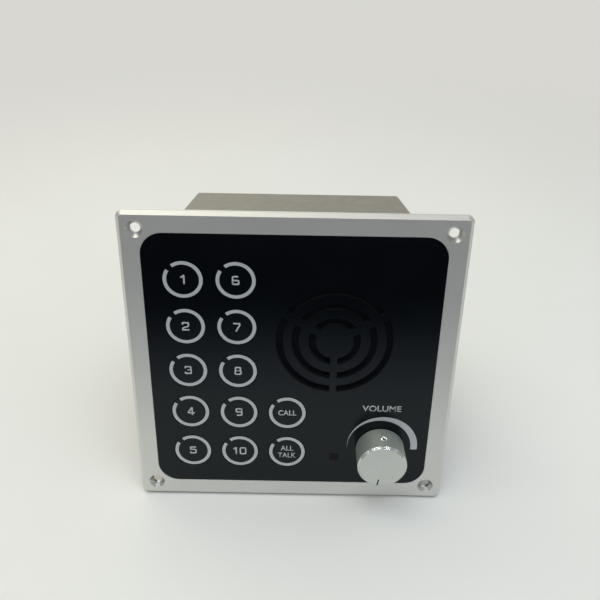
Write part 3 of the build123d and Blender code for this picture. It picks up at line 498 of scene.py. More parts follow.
backdrop_tone = world_nodes.new("ShaderNodeBackground")
backdrop_tone.inputs["Color"].default_value = pale_tone
backdrop_path = world_nodes.new("ShaderNodeLightPath")
backdrop_mix = world_nodes.new("ShaderNodeMixShader")
world_link = world.node_tree.links.new
world_link(backdrop_path.outputs["Is Camera Ray"], backdrop_mix.inputs[0])
world_link(surroundings.outputs[0], backdrop_mix.inputs[1])
world_link(backdrop_tone.outputs[0], backdrop_mix.inputs[2])
world_link(backdrop_mix.outputs[0], world_nodes["World Output"].inputs["Surface"])

# %% [markdown]
# ## The plate: anodised aluminium
#
# The plate is bead-blasted and then anodised, which gives a fine, even, slightly sparkling grey.
# The grain is a noise of about a sixth of a millimetre that changes both the relief and the
# roughness. Under the film, and down the walls of the slots and key holes, the metal is coloured
# black as painted shade, so the openings look deep. The cone of each corner hole is freshly cut,
# smoother and finely ringed, and it is coloured a darker grey as painted shade.

# %% Plate finish
painted_reach = 60.0
cone_radius = 3.71
cone_middle = -1.5
cone_half_depth = 1.48


def distance_from(place, x, z):
    """How far each point is from the line that runs straight back through (x, z)."""
    vector_maths = "ShaderNodeVectorMath"
    finish = place.finish
    flat = finish.node(vector_maths, {"operation": "MULTIPLY"}, {0: place, 1: (1.0, 0.0, 1.0)})
    moved = finish.node(vector_maths, {"operation": "SUBTRACT"}, {0: flat, 1: (x, 0.0, z)})
    return finish.node(vector_maths, {"operation": "LENGTH"}, {0: moved}, output="Value")


plate = Finish("blasted_aluminium")
plate_x, plate_y, plate_z = axes(plate.place)
grain = clouds(plate.place, 0.16, detail=2.0)
haze = clouds(plate.place, 26.0, detail=2.0)
under_film = (abs(plate_x) < painted_reach) * (abs(plate_z) < painted_reach)
# Painted shade: the walls of the openings under the film are coloured near black, not metal.
painted_shade_walls = under_film * (plate_y < -0.02)
mirrored = plate.node("ShaderNodeVectorMath", {"operation": "ABSOLUTE"}, {0: plate.place})
hole_distance = distance_from(mirrored, fixing_place, fixing_place)
in_cone = (hole_distance < cone_radius) * (abs(plate_y - cone_middle) < cone_half_depth)
blasted_tone = blend_colours(haze, (215, 216, 213), (223, 224, 221))
# Painted shade: the cones of the corner holes are coloured a darker grey than the plate.
plate_tone_with_cone_shade = blend_colours(in_cone, blasted_tone, (200, 202, 199))
plate.colour(painted_shade_walls, plate_tone_with_cone_shade, (7, 9, 13))
plate.paint("Metallic", 1 - painted_shade_walls)
blasted = between(grain, 0.4, 0.5) + haze * 0.04
plate.paint("Roughness", blasted * (1 - in_cone) + in_cone * 0.28 + painted_shade_walls * 0.3)
turning = (hole_distance * 28.0).sine()
relief_height = grain * (1 - in_cone) + turning * in_cone * 0.7
plate.emboss(relief_height, 0.006)
cover(plate, "front_panel")

# %% [markdown]
# ## The film and the key faces: black satin polyester
#
# The film is printed from behind, and its outside is a satin skin with a grain as fine as paper.
# The keys are the same black. Because the keys and the film are cut apart, the thin gap round each
# key shows as a slightly darker circle, down to the walls of the plate's key holes, which are
# coloured black as painted shade.

# %% Film finish
def satin_black(name, tone, shine):
    tint = (0.84, 0.94, 1.0, 1.0)
    skin = Finish(name, IOR=1.45, Specular_IOR_Level=0.34, Specular_Tint=tint)
    fine = clouds(skin.place, 0.12, detail=2.0)
    smear = clouds(skin.place, 18.0, detail=3.0)
    skin.colour(smear, tone, (5, 8, 12))
    skin.paint("Roughness", between(smear, shine - 0.03, shine + 0.04) + fine * 0.04)
    skin.emboss(fine, 0.0025)
    return skin


film = satin_black("satin_film", (3, 5, 9), 0.15)
key_face = satin_black("satin_key_face", (4, 6, 10), 0.17)
key_names = [f"key_{number}" for number in range(1, 11)] + ["key_call", "key_all_talk"]
cover(film, "overlay_film")
cover(key_face, *key_names)

# %% [markdown]
# ## The knob: turned aluminium
#
# The knob was turned on a lathe, so its face carries very fine rings round its middle and its side
# has them too, one for each pass of the tool. The rings are a sine of the distance from the axis on
# the face, and of the depth on the side. The chamfer between them is brighter and a little uneven.
# The side is coloured a darker, greener grey than the face, as painted shade.
# The pointer is a groove filled with black paint, found here by its place: closer to the pointer's
# line than half its width, and just under the face.

# %% Knob finish
knob_centre = (41.1, -42.4)
knob_face = -17.0
knob_radius = 11.2
chamfer_width = 0.95
chamfer_depth = 0.98
pointer_turn = radians(190.5)
pointer_start = 7.0
pointer_half = 0.32
pointer_depth = 0.3

knob = Finish("turned_aluminium")
knob_x, knob_y, knob_z = axes(knob.place)
knob_distance = distance_from(knob.place, *knob_centre)
across_x = knob_x - knob_centre[0]
across_z = knob_z - knob_centre[1]
sideways = abs(across_x * cos(pointer_turn) - across_z * sin(pointer_turn))
outward = across_x * sin(pointer_turn) + across_z * cos(pointer_turn)
under_face = (knob_y > knob_face + 0.02) * (knob_y < knob_face + pointer_depth)
in_groove = (sideways < pointer_half) * (outward > pointer_start) * under_face
on_side = knob_distance > knob_radius - 0.05
near_edge = knob_distance > knob_radius - chamfer_width
on_chamfer = near_edge * (knob_y < knob_face + chamfer_depth) * (1 - on_side)
passes = (knob_distance * 40.0 + knob_y * 28.0).sine()
wear = clouds(knob.place, 3.0)
fine_grain = clouds(knob.place, 0.14, detail=2.0)
chatter = clouds(knob.place, 0.9, detail=1.0)
knob_wear_and_side_shade = blend_colours(wear, (198, 201, 199), (206, 209, 207))
# Painted shade: the side of the knob is coloured a darker, greener grey than the face.
knob_wear_and_side_shade = blend_colours(on_side, knob_wear_and_side_shade, (184, 193, 184))
knob.colour(in_groove, knob_wear_and_side_shade, (8, 8, 9))
face_roughness = between(wear, 0.27, 0.36)
knob.paint("Roughness", face_roughness + in_groove * 0.3 - on_chamfer * 0.17 + on_side * 0.12)
knob.paint("Metallic", 1 - on_side * 0.25)
turned = (
    passes * (0.5 + on_side * 7.0)
    + fine_grain * (1 - on_chamfer)
    + chatter * on_chamfer * 28.0
)
knob.emboss(turned, 0.0022)
cover(knob, "volume_knob")

# %% [markdown]
# ## The indicator window
#
# The window is a small block of dark red acrylic, polished at the front. It hardly lets light
# through, so it needs no glass shader: a deep red-black base under a clear coat looks the same and
# renders quickly. Moulded acrylic has a slight waviness, which the coat shows.

# %% Window finish
window = Finish(
    "smoked_red_acrylic", Roughness=0.3, IOR=1.45, Specular_IOR_Level=0.1, Coat_Roughness=0.12
)
window_cloud = clouds(window.place, 2.2)
window.colour(window_cloud, (12, 6, 10), (24, 11, 15))
window.paint("Coat Weight", between(window_cloud, 0.05, 0.15))
window.emboss(window_cloud, 0.02)
cover(window, "indicator_window")

# %% [markdown]
# ## The rear box: folded sheet steel
#
# The box is folded from plated sheet and has the warm, slightly cloudy grey of chromated zinc. It
# isn't polished, so it only half mirrors the room: a metal with a rough, blotchy surface. Rolling
# leaves faint lines along the sheet, made here by a noise that is stretched along X.

# %% Sheet finish
sheet = Finish("chromated_sheet")
sheet_cloud = clouds(sheet.place, 22.0, detail=5.0, roughness=0.62)
spangle = sheet.node(
    "ShaderNodeTexVoronoi", {}, {"Vector": sheet.place, "Scale": 0.35}, output="Color"
)
rolled = clouds(sheet.stretched_place((0.04, 1.0, 1.0)), 0.5, detail=3.0)
sheet_tone = blend_colours(sheet_cloud, (139, 136, 126), (156, 153, 142))
handled = clouds(sheet.place, 7.0, detail=6.0, roughness=0.7)
rubbed = ramp_between(handled, 0.5, 0.68)
sheet_shade = rolled * 0.3 + spangle * 0.25
sheet.colour(sheet_shade, sheet_tone, (122, 120, 113))
sheet.paint("Metallic", between(sheet_cloud, 0.55, 0.75))
sheet.paint("Roughness", between(sheet_cloud, 0.4, 0.52) + rolled * 0.06 - rubbed * 0.1)
sheet.emboss(rolled + sheet_cloud * 2.0 + spangle, 0.012)
cover(sheet, "rear_box")

# %% [markdown]
# ## Plated and blackened steel
#
# Nuts, studs, screws, the loudspeaker's frame and its magnet plates are all small steel pieces.
# They differ in plating, so one helper makes them from a tone and a roughness: brushed streaks, a
# few darker blotches where fingers and tools have touched, and a fine relief. The set screw is
# shaded as if its end leaned towards the user, so that it catches the light as in the photograph.

# %% A helper for small steel pieces
def plated_steel(name, bright, dull, roughness, streak=(1.0, 0.15, 1.0)):
    steel = Finish(name, Metallic=1.0)
    touch = clouds(steel.place, 4.0, detail=4.0)
    streaks = clouds(steel.stretched_place(streak), 0.12, detail=2.0)
    steel.colour(touch, bright, dull)
    steel.paint("Roughness", between(touch, roughness - 0.06, roughness + 0.1) + streaks * 0.05)
    steel.emboss(streaks, 0.004)
    return steel


# %% Steel pieces
even, pressed = (1.0, 1.0, 1.0), (0.3, 1.0, 0.3)
screw_lean = 0.45

zinc = plated_steel("bright_zinc", (206, 209, 212), (176, 180, 186), 0.28)
cover(zinc, "stud_nuts", "pillar_screws", "volume_nut", "volume_washer", "earth_nut")
stud_steel = plated_steel("plated_stud", (196, 198, 198), (160, 162, 164), 0.34, even)
cover(stud_steel, "panel_studs", "volume_shaft", "earth_stud")
clamp_steel = plated_steel("clamp_zinc", (198, 196, 184), (176, 170, 150), 0.36)
cover(clamp_steel, "speaker_clamps", "terminal_screws")
screw_nickel = plated_steel("nickel_set_screw", (232, 232, 228), (212, 212, 208), 0.3)
screw_nickel.emboss(axes(screw_nickel.place)[1] * screw_lean, 1.0)
cover(screw_nickel, "knob_set_screw")
pillar_metal = plated_steel("nickel_pillar", (204, 200, 190), (184, 178, 164), 0.3, (1.0, 0.1, 1.0))
cover(pillar_metal, "board_pillars", "board_spacers")
basket_steel = plated_steel("pressed_basket", (168, 170, 172), (140, 142, 146), 0.42, pressed)
cover(basket_steel, "speaker_basket")
yoke_steel = plated_steel("magnet_plate", (178, 176, 164), (150, 148, 136), 0.34, pressed)
cover(yoke_steel, "speaker_top_plate", "speaker_yoke")
pot_metal = plated_steel("control_can", (184, 186, 188), (150, 152, 156), 0.35, (0.2, 1.0, 0.2))
cover(pot_metal, "volume_control")

# %% [markdown]
# ## The heat sink
#
# The heat sink is black-anodised extrusion. Drawing it through the die leaves lines along its
# length, which here runs forward from the board, and its black varies a little in worn blotches.

# %% Heat sink finish
extrusion = Finish("black_extrusion", Metallic=0.8)
die_lines = clouds(extrusion.stretched_place((1.0, 0.02, 1.0)), 0.18, detail=3.0)
worn = clouds(extrusion.place, 5.0, detail=4.0)
extrusion.colour(worn, (34, 34, 36), (54, 54, 57))
extrusion.paint("Roughness", between(die_lines, 0.36, 0.5))
extrusion.emboss(die_lines, 0.02)
cover(extrusion, "heat_sink")

# %% [markdown]
# ## Moulded plastics and rubber
#
# Terminals, relays, sockets and chips are moulded. A mould is spark-eroded, so the plastic has an
# even fine grain, and its colour drifts a little where it flowed. Rubber and silicone use the same
# helper with more roughness and a coarser grain.

# %% A helper for moulded pieces
def moulded(name, tone, drift, roughness, grain_size=0.25, grain_depth=0.012, shine=0.5):
    plastic = Finish(name, Specular_IOR_Level=shine)
    eroded = clouds(plastic.place, grain_size, detail=3.0)
    flow = clouds(plastic.place, 7.0, detail=3.0)
    plastic.colour(flow, tone, drift)
    plastic.paint("Roughness", between(flow, roughness - 0.05, roughness + 0.06) + eroded * 0.05)
    plastic.emboss(eroded, grain_depth)
    return plastic


# %% Moulded pieces
terminal_green = moulded("terminal_green", (44, 108, 74), (52, 122, 84), 0.42)
cover(terminal_green, "line_terminal_upper", "line_terminal_lower", "power_terminal")
cover(moulded("relay_case", (58, 58, 60), (68, 68, 70), 0.35), "line_relays")
cover(moulded("chip_resin", (32, 32, 33), (40, 40, 41), 0.55, 0.1, 0.008), "logic_chips")
cover(moulded("socket_grey", (70, 72, 76), (80, 82, 86), 0.4), "ribbon_sockets")
cover(moulded("header_black", (34, 34, 36), (42, 42, 44), 0.42), "ribbon_headers")
potting = moulded("potting_compound", (38, 39, 42), (50, 50, 52), 0.4, 1.4, 0.06)
cover(potting, "line_transformer")
silicone = moulded("silicone_mat", (150, 154, 158), (164, 168, 172), 0.55, 0.4, 0.01)
cover(silicone, "switch_mat")
foam = moulded("cell_foam", (36, 36, 38), (48, 48, 50), 0.9, 0.45, 0.16, 0.15)
cover(foam, "speaker_gasket")
cover(moulded("ferrite", (56, 56, 58), (68, 67, 66), 0.62, 0.3, 0.03), "speaker_magnet")
lead_rubber = moulded("lead_jacket", (46, 46, 50), (58, 58, 60), 0.5, 0.3, 0.01)
cover(lead_rubber, "speaker_lead", "volume_lead")

# %% [markdown]
# ## The amplifier and the lamp
#
# The amplifier is a black resin body on bright tinned legs. Its legs are told from its body by
# their depth: they fill only the last four millimetres before the board. The lamp is clear
# moulded resin over a small red die, which shows as a deeper red round the lamp's own axis.

# %% Amplifier and lamp finishes
leg_start = 55.4
lamp_centre = (20.0, -48.0)

amplifier = Finish("amplifier_resin_and_legs")
amplifier_depth = axes(amplifier.place)[1]
on_leg = amplifier_depth > leg_start
resin_grain = clouds(amplifier.place, 0.12)
amplifier.colour(on_leg, (34, 34, 35), (204, 202, 196))
amplifier.paint("Metallic", on_leg)
amplifier.paint("Roughness", 0.5 + resin_grain * 0.1 - on_leg * 0.25)
amplifier.emboss(resin_grain, 0.01)
cover(amplifier, "amplifier_chip")

lamp_resin = Finish("lamp_resin", Roughness=0.12, IOR=1.5)
lamp_core = ramp_between(distance_from(lamp_resin.place, *lamp_centre), 1.2, 0.3)
lamp_resin.colour(lamp_core, (186, 92, 84), (140, 26, 22))
lamp_resin.emboss(clouds(lamp_resin.place, 0.8), 0.01)
cover(lamp_resin, "indicator_lamp")

# %% [markdown]
# ## Circuit boards
#
# A board is glass cloth under green lacquer. Its weave shows faintly through, and the copper
# tracks under the lacquer make straight raised lines. The tracks are a brick pattern of long thin
# runs whose mortar is copper, and the weave is a fine wave in both directions.

# %% Board finish
board = Finish("green_board")
board_x, _, board_z = axes(board.place)
board_flat = board.node("ShaderNodeCombineXYZ", {}, {"X": board_x, "Y": board_z, "Z": 0.0})
tracks = board.node(
    "ShaderNodeTexBrick",
    {"offset": 0.37, "squash": 0.6, "squash_frequency": 3},
    {
        "Vector": board_flat,
        "Scale": 1.0,
        "Mortar Size": 0.28,
        "Mortar Smooth": 0.2,
        "Brick Width": 9.0,
        "Row Height": 1.9,
    },
    output="Fac",
)
glass_cloth = (board_x * 9.0).sine() * (board_z * 9.0).sine()
patches = clouds(board.place, 14.0)
lacquer = blend_colours(patches, (20, 70, 42), (24, 82, 48))
board.colour(tracks * 0.75, lacquer, (44, 108, 62))
board.paint("Roughness", between(patches, 0.26, 0.36))
board.emboss(tracks + glass_cloth * 0.12, 0.035)
cover(board, "keypad_board", "main_board")

# %% [markdown]
# ## Cloth, paper and copper of the loudspeaker
#
# Thin black cloth keeps dust out of the slots. The cone is pressed paper pulp, the dust cap is
# woven and varnished, the surround is treated cloth, the centring disc is resin-stiffened cotton,
# and the coil is wound from lacquered copper wire 0.2 mm thick.

# %% Woven and wound finishes
def woven(name, tone, thread_tone, pitch, roughness, depth):
    cloth = Finish(name, Specular_IOR_Level=0.2)
    x, _, z = axes(cloth.place)
    turns = 2 * pi / pitch
    over = (x * turns).sine() * (z * turns).sine() * 0.5 + 0.5
    fuzz = clouds(cloth.place, 0.3, detail=4.0)
    cloth.colour(over, tone, thread_tone)
    cloth.paint("Roughness", between(fuzz, roughness - 0.08, roughness + 0.08))
    cloth.emboss(over + fuzz * 0.4, depth)
    return cloth


grille_cloth = woven("acoustic_cloth", (4, 6, 12), (12, 17, 26), 0.7, 0.85, 0.06)
cover(grille_cloth, "grille_cloth")
surround_cloth = woven("surround_cloth", (24, 24, 26), (38, 38, 40), 0.6, 0.7, 0.03)
cover(surround_cloth, "cone_surround", "dust_cap")
amber_cloth = woven("amber_cloth", (142, 92, 40), (176, 122, 60), 0.55, 0.5, 0.04)
cover(amber_cloth, "centring_disc")

# %% Pulp finish
pulp = Finish("paper_pulp")
fibres = clouds(pulp.place, 0.35, detail=5.0, roughness=0.7)
pulp.colour(fibres, (40, 40, 41), (62, 61, 60))
pulp.paint("Roughness", between(fibres, 0.78, 0.92))
pulp.emboss(fibres, 0.06)
cover(pulp, "speaker_cone")

# %% Copper finish
wire_size = 0.2
copper = Finish("wound_copper", Metallic=0.9)
copper_y = axes(copper.place)[1]
winding = (copper_y * (2 * pi / wire_size)).sine()
tarnish = clouds(copper.place, 1.5)
copper.colour(tarnish, (176, 96, 58), (142, 74, 44))
copper.paint("Roughness", between(tarnish, 0.28, 0.4))
copper.emboss(winding, 0.05)
cover(copper, "voice_coil")

# %% [markdown]
# ## The ribbon cable and the capacitors
#
# The cable is a row of twenty grey wires 1.27 mm apart, each a rounded ridge, with one red edge
# wire that shows which end is pin one. A capacitor is an aluminium can in a printed sleeve: the
# sleeve covers the side, and the bare can shows at the top with its scored vent.

# %% Ribbon finish
wire_pitch = 1.27
ribbon_left = -43.7
ribbon = Finish("grey_ribbon")
ribbon_x = axes(ribbon.place)[0] - ribbon_left
ridge = (ribbon_x * (pi / wire_pitch)).sine()
red_edge = ribbon_x < wire_pitch
ribbon_cloud = clouds(ribbon.place, 6.0)
ribbon_tone = blend_colours(ribbon_cloud, (148, 150, 152), (162, 164, 166))
ribbon.colour(red_edge, ribbon_tone, (152, 38, 34))
ribbon.paint("Roughness", between(ribbon_cloud, 0.4, 0.52))
ribbon.emboss(abs(ridge), 0.3)
cover(ribbon, "ribbon_cable")

# %% Capacitor finish
can_top = 39.4
can_spacing = 16.0
can_row = (10.0, -31.0)
sleeve_step = 1.1
groove_half = 0.25
vent_reach = 3.5

can = Finish("sleeved_can")
can_x, can_y, can_z = axes(can.place)
bare_top = can_y < can_top + sleeve_step
along = can.node(
    "ShaderNodeMath",
    {"operation": "WRAP"},
    {0: can_x - can_row[0], 1: -can_spacing / 2, 2: can_spacing / 2},
)
up = can_z - can_row[1]
scored = (abs(along) < groove_half) + (abs(up) < groove_half) > 0.5
near_middle = (abs(along) < vent_reach) * (abs(up) < vent_reach)
vent = scored * near_middle * bare_top
can_cloud = clouds(can.place, 2.5)
can_tone = blend_colours(bare_top, (28, 34, 58), (196, 197, 198))
can.colour(vent, can_tone, (120, 121, 122))
can.paint("Metallic", bare_top)
can.paint("Roughness", between(can_cloud, 0.3, 0.4))
can.emboss(can_cloud - vent, 0.05)
cover(can, "capacitors")

# %% Every piece has its finish
print("pieces without a finish:", sorted(set(parts) - covered))

# %% [markdown]
# ## The printing ink
#
# The marks are printed in one pale grey ink. Screen printing leaves a faint pattern of the mesh
# and tiny differences in how thick the ink lies.

# %% Ink finish
ink = Finish("silver_grey_ink", Metallic=0.42)
ink_cloud = clouds(ink.place, 0.8, detail=4.0)
mesh_print = ink.node("ShaderNodeTexVoronoi", {}, {"Vector": ink.place, "Scale": 6.0})
ink.colour(ink_cloud, (176, 180, 183), (194, 198, 201))
ink.paint("Roughness", between(ink_cloud, 0.4, 0.52))
ink.emboss(mesh_print, 0.004)
print("ink ready")

# %% [markdown]
# ## The printed ring of a key
#
# Each key has a ring printed just inside its edge, open at the upper left. One ring is modelled as
# by hand: a filled circle, its face inset by the ring's width, the middle deleted, the sector of
# the opening deleted, and the flat band given the thickness of ink. Every key then gets a copy.
# Two helpers end each print: one thickens it, the other turns its faces outwards.

# %% Measures of the prints
film_front = -2.9 * MM
ink_lift = 0.005 * MM
ink_thickness = 0.03 * MM
ring_outer = 8.34 * MM
ring_width = 1.52 * MM
ring_steps = 192
opening_start = 126.0
opening_end = 147.0


def face_outwards():
    """Turn every face of the piece in edit mode outwards, and leave edit mode."""
    bpy.ops.mesh.select_all(action="SELECT")
    bpy.ops.mesh.normals_make_consistent(inside=False)
    bpy.ops.object.mode_set(mode="OBJECT")


def thicken(move):
    """Give the flat piece in edit mode a thickness, close it and leave edit mode."""
    bpy.ops.mesh.select_all(action="SELECT")
    bpy.ops.mesh.extrude_region_move(TRANSFORM_OT_translate={"value": move})
    face_outwards()


def select_faces(piece, wanted):
    """Select the faces for which wanted(face) is true, and go into edit mode."""
    bpy.ops.object.mode_set(mode="EDIT")
    bpy.ops.mesh.select_mode(type="FACE")
    bpy.ops.mesh.select_all(action="DESELECT")
    bpy.ops.object.mode_set(mode="OBJECT")
    for face in piece.data.polygons:
        face.select = bool(wanted(face))
    bpy.ops.object.mode_set(mode="EDIT")


def angle_of(face):
    """Direction of a face's middle from the x axis of the mesh, in degrees anticlockwise."""
    return degrees(atan2(face.center.y, face.center.x)) % 360


# %% Model one ring
clear_selection()
bpy.ops.mesh.primitive_circle_add(vertices=ring_steps, radius=ring_outer, fill_type="NGON")
ring = bpy.context.object
bpy.ops.object.mode_set(mode="EDIT")
bpy.ops.mesh.inset(thickness=ring_width, depth=0)
bpy.ops.object.mode_set(mode="OBJECT")
select_faces(ring, lambda face: len(face.vertices) > 4)
bpy.ops.mesh.delete(type="FACE")
bpy.ops.object.mode_set(mode="OBJECT")
select_faces(ring, lambda face: opening_start < angle_of(face) < opening_end)
bpy.ops.mesh.delete(type="FACE")
thicken((0, 0, ink_thickness))
ring.rotation_euler = (radians(90), 0, 0)
ring.location = (0, film_front - ink_lift, 0)
seat_in_mesh(ring)
print("ring faces:", len(ring.data.polygons))

# %% [markdown]
# ## Words
#
# Words start as text objects. The font is made bolder by offsetting its outline, turned into a
# mesh, scaled to the width and height that the photograph shows, and given the thickness of ink.
# The wide letters of the real panel come from that stretch.

# %% A helper for words
def lettering(words, x, z, width, height, boldness):
    """Flat printed words with their middle at (x, z), in millimetres, exactly as wide and high."""
    clear_selection()
    bpy.ops.object.text_add(rotation=(radians(90), 0, 0))
    text = bpy.context.object
    text.data.body = words
    text.data.align_x = "CENTER"
    text.data.resolution_u = 6
    text.data.offset = boldness
    bpy.ops.object.convert(target="MESH")
    text = bpy.context.object
    corners = [text.matrix_world @ Vector(corner) for corner in text.bound_box]
    low_x, high_x = min(c.x for c in corners), max(c.x for c in corners)
    low_z, high_z = min(c.z for c in corners), max(c.z for c in corners)
    wide = width * MM / (high_x - low_x)
    tall = height * MM / (high_z - low_z)
    text.scale = (wide, tall, 1.0)
    text.location = (
        x * MM - wide * (low_x + high_x) / 2,
        film_front - ink_lift,
        z * MM - tall * (low_z + high_z) / 2,
    )
    seat_in_mesh(text)
    bpy.ops.object.mode_set(mode="EDIT")
    bpy.ops.mesh.select_all(action="SELECT")
    bpy.ops.mesh.remove_doubles(threshold=0.001 * MM)
    thicken((0, -ink_thickness, 0))
    return text


def join_prints(name, prints, body):
    """Join prints into one named piece with the ink's finish, riding on a body."""
    select_only(prints[0])
    for piece in prints[1:]:
        piece.select_set(True)
    if len(prints) > 1:
        bpy.ops.object.join()
    piece = bpy.context.object
    piece.name = name
    piece.data.materials.clear()
    piece.data.materials.append(ink.material)
    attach(piece, body)


# %% [markdown]
# ## Numerals
#
# The numerals of this panel are squarish, with round bends and strokes of one width, which the
# built-in font can't give. Each is a few pen strokes instead: the corners of the pen's line are
# listed in millimetres, a spline of order 3 rounds them, a bevel gives it the width of the pen, and
# the round tube is then pressed as flat as ink. `side` and `cap` are half the width and half the
# height of the pen's line, and the 9 is the 6 turned by half a turn.

# %% The pen's lines
pen = 0.7
side, cap = 1.25, 1.73
top_end = cap + pen / 2
waist = 0.12
digits = {
    "0": [[(-side, -cap), (side, -cap), (side, cap), (-side, cap), "closed"]],
    "1": [[(-0.85, 0.95), (0.5, 1.8)], [(0.5, top_end), (0.5, -top_end)]],
    "2": [
        [(-side, 0.85), (-side, cap), (side, cap), (side, 0.0), (-side, -0.9), (-side, -cap)],
        [(-side - pen / 2, -cap), (side + pen / 2, -cap)],
    ],
    "3": [
        [(-side, 0.9), (-side, cap), (side - 0.08, cap), (side - 0.08, waist), (-0.45, waist)],
        [(-0.4, waist), (side, waist), (side, -cap), (-side, -cap), (-side, -0.9)],
    ],
    "4": [[(0.65, top_end), (0.65, -top_end)], [(0.5, 1.9), (-1.4, -0.85), (1.8, -0.85)]],
    "5": [
        [(side + 0.2, cap), (0.1 - side, cap), (0.1 - side, 0.3)],
        [(-0.3 - side, 0.35), (side, 0.35), (side, -cap), (-side, -cap), (-side, -0.9)],
    ],
    "6": [
        [(side - 0.2, cap), (-side, cap), (-side, -1.1)],
        [(-side, -cap), (side, -cap), (side, -0.05), (-side, -0.05), "closed"],
    ],
    "7": [[(-side - pen / 2, cap), (side, cap), (side, 1.0), (-0.45, -top_end)]],
    "8": [
        [(-1.1, waist), (1.1, waist), (1.1, cap), (-1.1, cap), "closed"],
        [(-side, -cap), (side, -cap), (side, waist), (-side, waist), "closed"],
    ],
}
digits["9"] = [
    [corner if corner == "closed" else (-corner[0], -corner[1]) for corner in stroke]
    for stroke in digits["6"]
]
print("digits drawn by pen:", " ".join(digits))


# %% A helper for one digit
bend = 1.2


def rounded(corners, closed):
    """Points for a spline of order 3 that runs straight between the corners and bends near them."""
    points = []
    for number, corner in enumerate(corners):
        here = Vector(corner)
        if not closed and number in (0, len(corners) - 1):
            points.append(here)
            continue
        before = Vector(corners[number - 1]) - here
        after = Vector(corners[(number + 1) % len(corners)]) - here
        reach = min(bend, before.length / 2, after.length / 2)
        points += [here + before.normalized() * reach, here, here + after.normalized() * reach]
    return points


def drawn_digit(digit, x, z):
    """A flat printed digit with its middle at (x, z), in millimetres."""
    clear_selection()
    bpy.ops.curve.primitive_nurbs_path_add(rotation=(radians(90), 0, 0))
    line = bpy.context.object
    line.data.splines.clear()
    line.data.resolution_u = 5
    line.data.bevel_depth = pen / 2
    line.data.bevel_resolution = 2
    line.data.use_fill_caps = True
    for stroke in digits[digit]:
        closed = stroke[-1] == "closed"
        points = rounded(stroke[:-1] if closed else stroke, closed)
        spline = line.data.splines.new("NURBS")
        spline.points.add(len(points) - 1)
        for point, place in zip(spline.points, points):
            point.co = (place.x, place.y, 0.0, 1.0)
        spline.order_u = 3
        spline.use_cyclic_u = closed
        spline.use_endpoint_u = not closed
    bpy.ops.object.convert(target="MESH")
    drawn = bpy.context.object
    bpy.ops.object.mode_set(mode="EDIT")
    bpy.ops.mesh.select_all(action="SELECT")
    bpy.ops.mesh.remove_doubles(threshold=0.001)
    face_outwards()
    drawn.scale = (MM, MM, ink_thickness / (pen / 2))
    drawn.location = (x * MM, film_front - ink_lift, z * MM)
    seat_in_mesh(drawn)
    return drawn


# %% Places of the keys and their words
key_column = [-46.2, -24.2, -2.2]
key_row = [42.5, 20.5, -1.5, -23.5, -45.5]
key_spots = [(x, z) for x in key_column[:2] for z in key_row]
key_spots += [(key_column[2], z) for z in key_row[3:]]
key_place = dict(zip(key_names, key_spots))
word_height = 2.8
line_step = 2.0
ten_places = {"1": -2.3, "0": 1.4}
print("keys placed:", len(key_place))

# %% Print the keys
for name, (x, z) in key_place.items():
    ring_copy = ring.copy()
    ring_copy.data = ring.data.copy()
    bpy.context.collection.objects.link(ring_copy)
    ring_copy.location = (x * MM, 0, z * MM)
    seat_in_mesh(ring_copy)
    if name == "key_call":
        words = [lettering("CALL", x, z, 8.3, word_height, 0.02)]
    elif name == "key_all_talk":
        words = [
            lettering("ALL", x, z + line_step, 6.0, word_height, 0.01),
            lettering("TALK", x, z - line_step, 8.4, word_height, 0.01),
        ]
    elif name == "key_10":
        words = [drawn_digit(digit, x + shift, z) for digit, shift in ten_places.items()]
    else:
        words = [drawn_digit(name.split("_")[1], x, z)]
    join_prints(f"print_{name}", [ring_copy, *words], name)
bpy.data.objects.remove(ring)
print("printed keys:", len(key_place))

# %% [markdown]
# ## The domes of the switch mat
#
# A silicone dome behind each key gives way when the key is pressed. In the engineering model the
# mat is one rigid piece, and a pressed key would go through it. Two copies of that piece are cut
# with a plane just in front of its sheet. The first keeps the sheet, and each dome of the second
# becomes a piece of its own, named after the nearest key.

# %% Measures of the domes
dome_cut = 2.1 * MM


# %% A helper that cuts a copy of a piece
def cut_copy(name, node, planes):
    """A copy of a node without what lies on the side that each plane faces, closed at the cuts."""
    piece = bpy.data.objects.new(name, parts[node].data.copy())
    bpy.context.collection.objects.link(piece)
    select_only(piece)
    bpy.ops.object.mode_set(mode="EDIT")
    bpy.ops.mesh.select_all(action="SELECT")
    bpy.ops.mesh.remove_doubles(threshold=0.0005 * MM)
    # The operator's own threshold of 0.1 mm would pull corners near the plane onto it.
    for spot, normal in planes:
        bpy.ops.mesh.select_all(action="SELECT")
        bpy.ops.mesh.bisect(
            plane_co=spot,
            plane_no=normal,
            threshold=0.0001 * MM,
            use_fill=True,
            clear_outer=True,
        )
    face_outwards()
    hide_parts(node)
    return piece


# %% Cut the domes off the sheet
cut_spot = (0, dome_cut, 0)
towards_user, away = (0, -1, 0), (0, 1, 0)
for cut_facing in (towards_user, away):
    mat_half = cut_copy("switch_sheet", "switch_mat", [(cut_spot, cut_facing)])
    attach(mat_half, "housing")
bpy.ops.mesh.separate(type="LOOSE")
domes = list(bpy.context.selected_objects)
for dome in domes:
    low, high = Vector(dome.bound_box[0]), Vector(dome.bound_box[6])
    middle = (low + high) / 2
    name = min(
        key_place,
        key=lambda key: (Vector(key_place[key]) * MM - Vector((middle.x, middle.z))).length,
    )
    dome.name = f"dome_{name}"
    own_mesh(dome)

# %% [markdown]
# ## The soft ring round the cone
#
# The cone hangs in a soft ring that is glued to the basket outside and to the cone inside, so its
# inner edge moves with the cone. So one sector is cut from a copy of the ring with two planes and
# repeated round the cone, each time with its own mesh.

# %% Measures of the ring
speaker_centre = (18.0, 14.1)
sector_count = 12
still_radius = 24.1 * MM
moving_radius = 22.3 * MM
ring_middle = Vector((speaker_centre[0] * MM, 0, speaker_centre[1] * MM))
half_sector = pi / sector_count

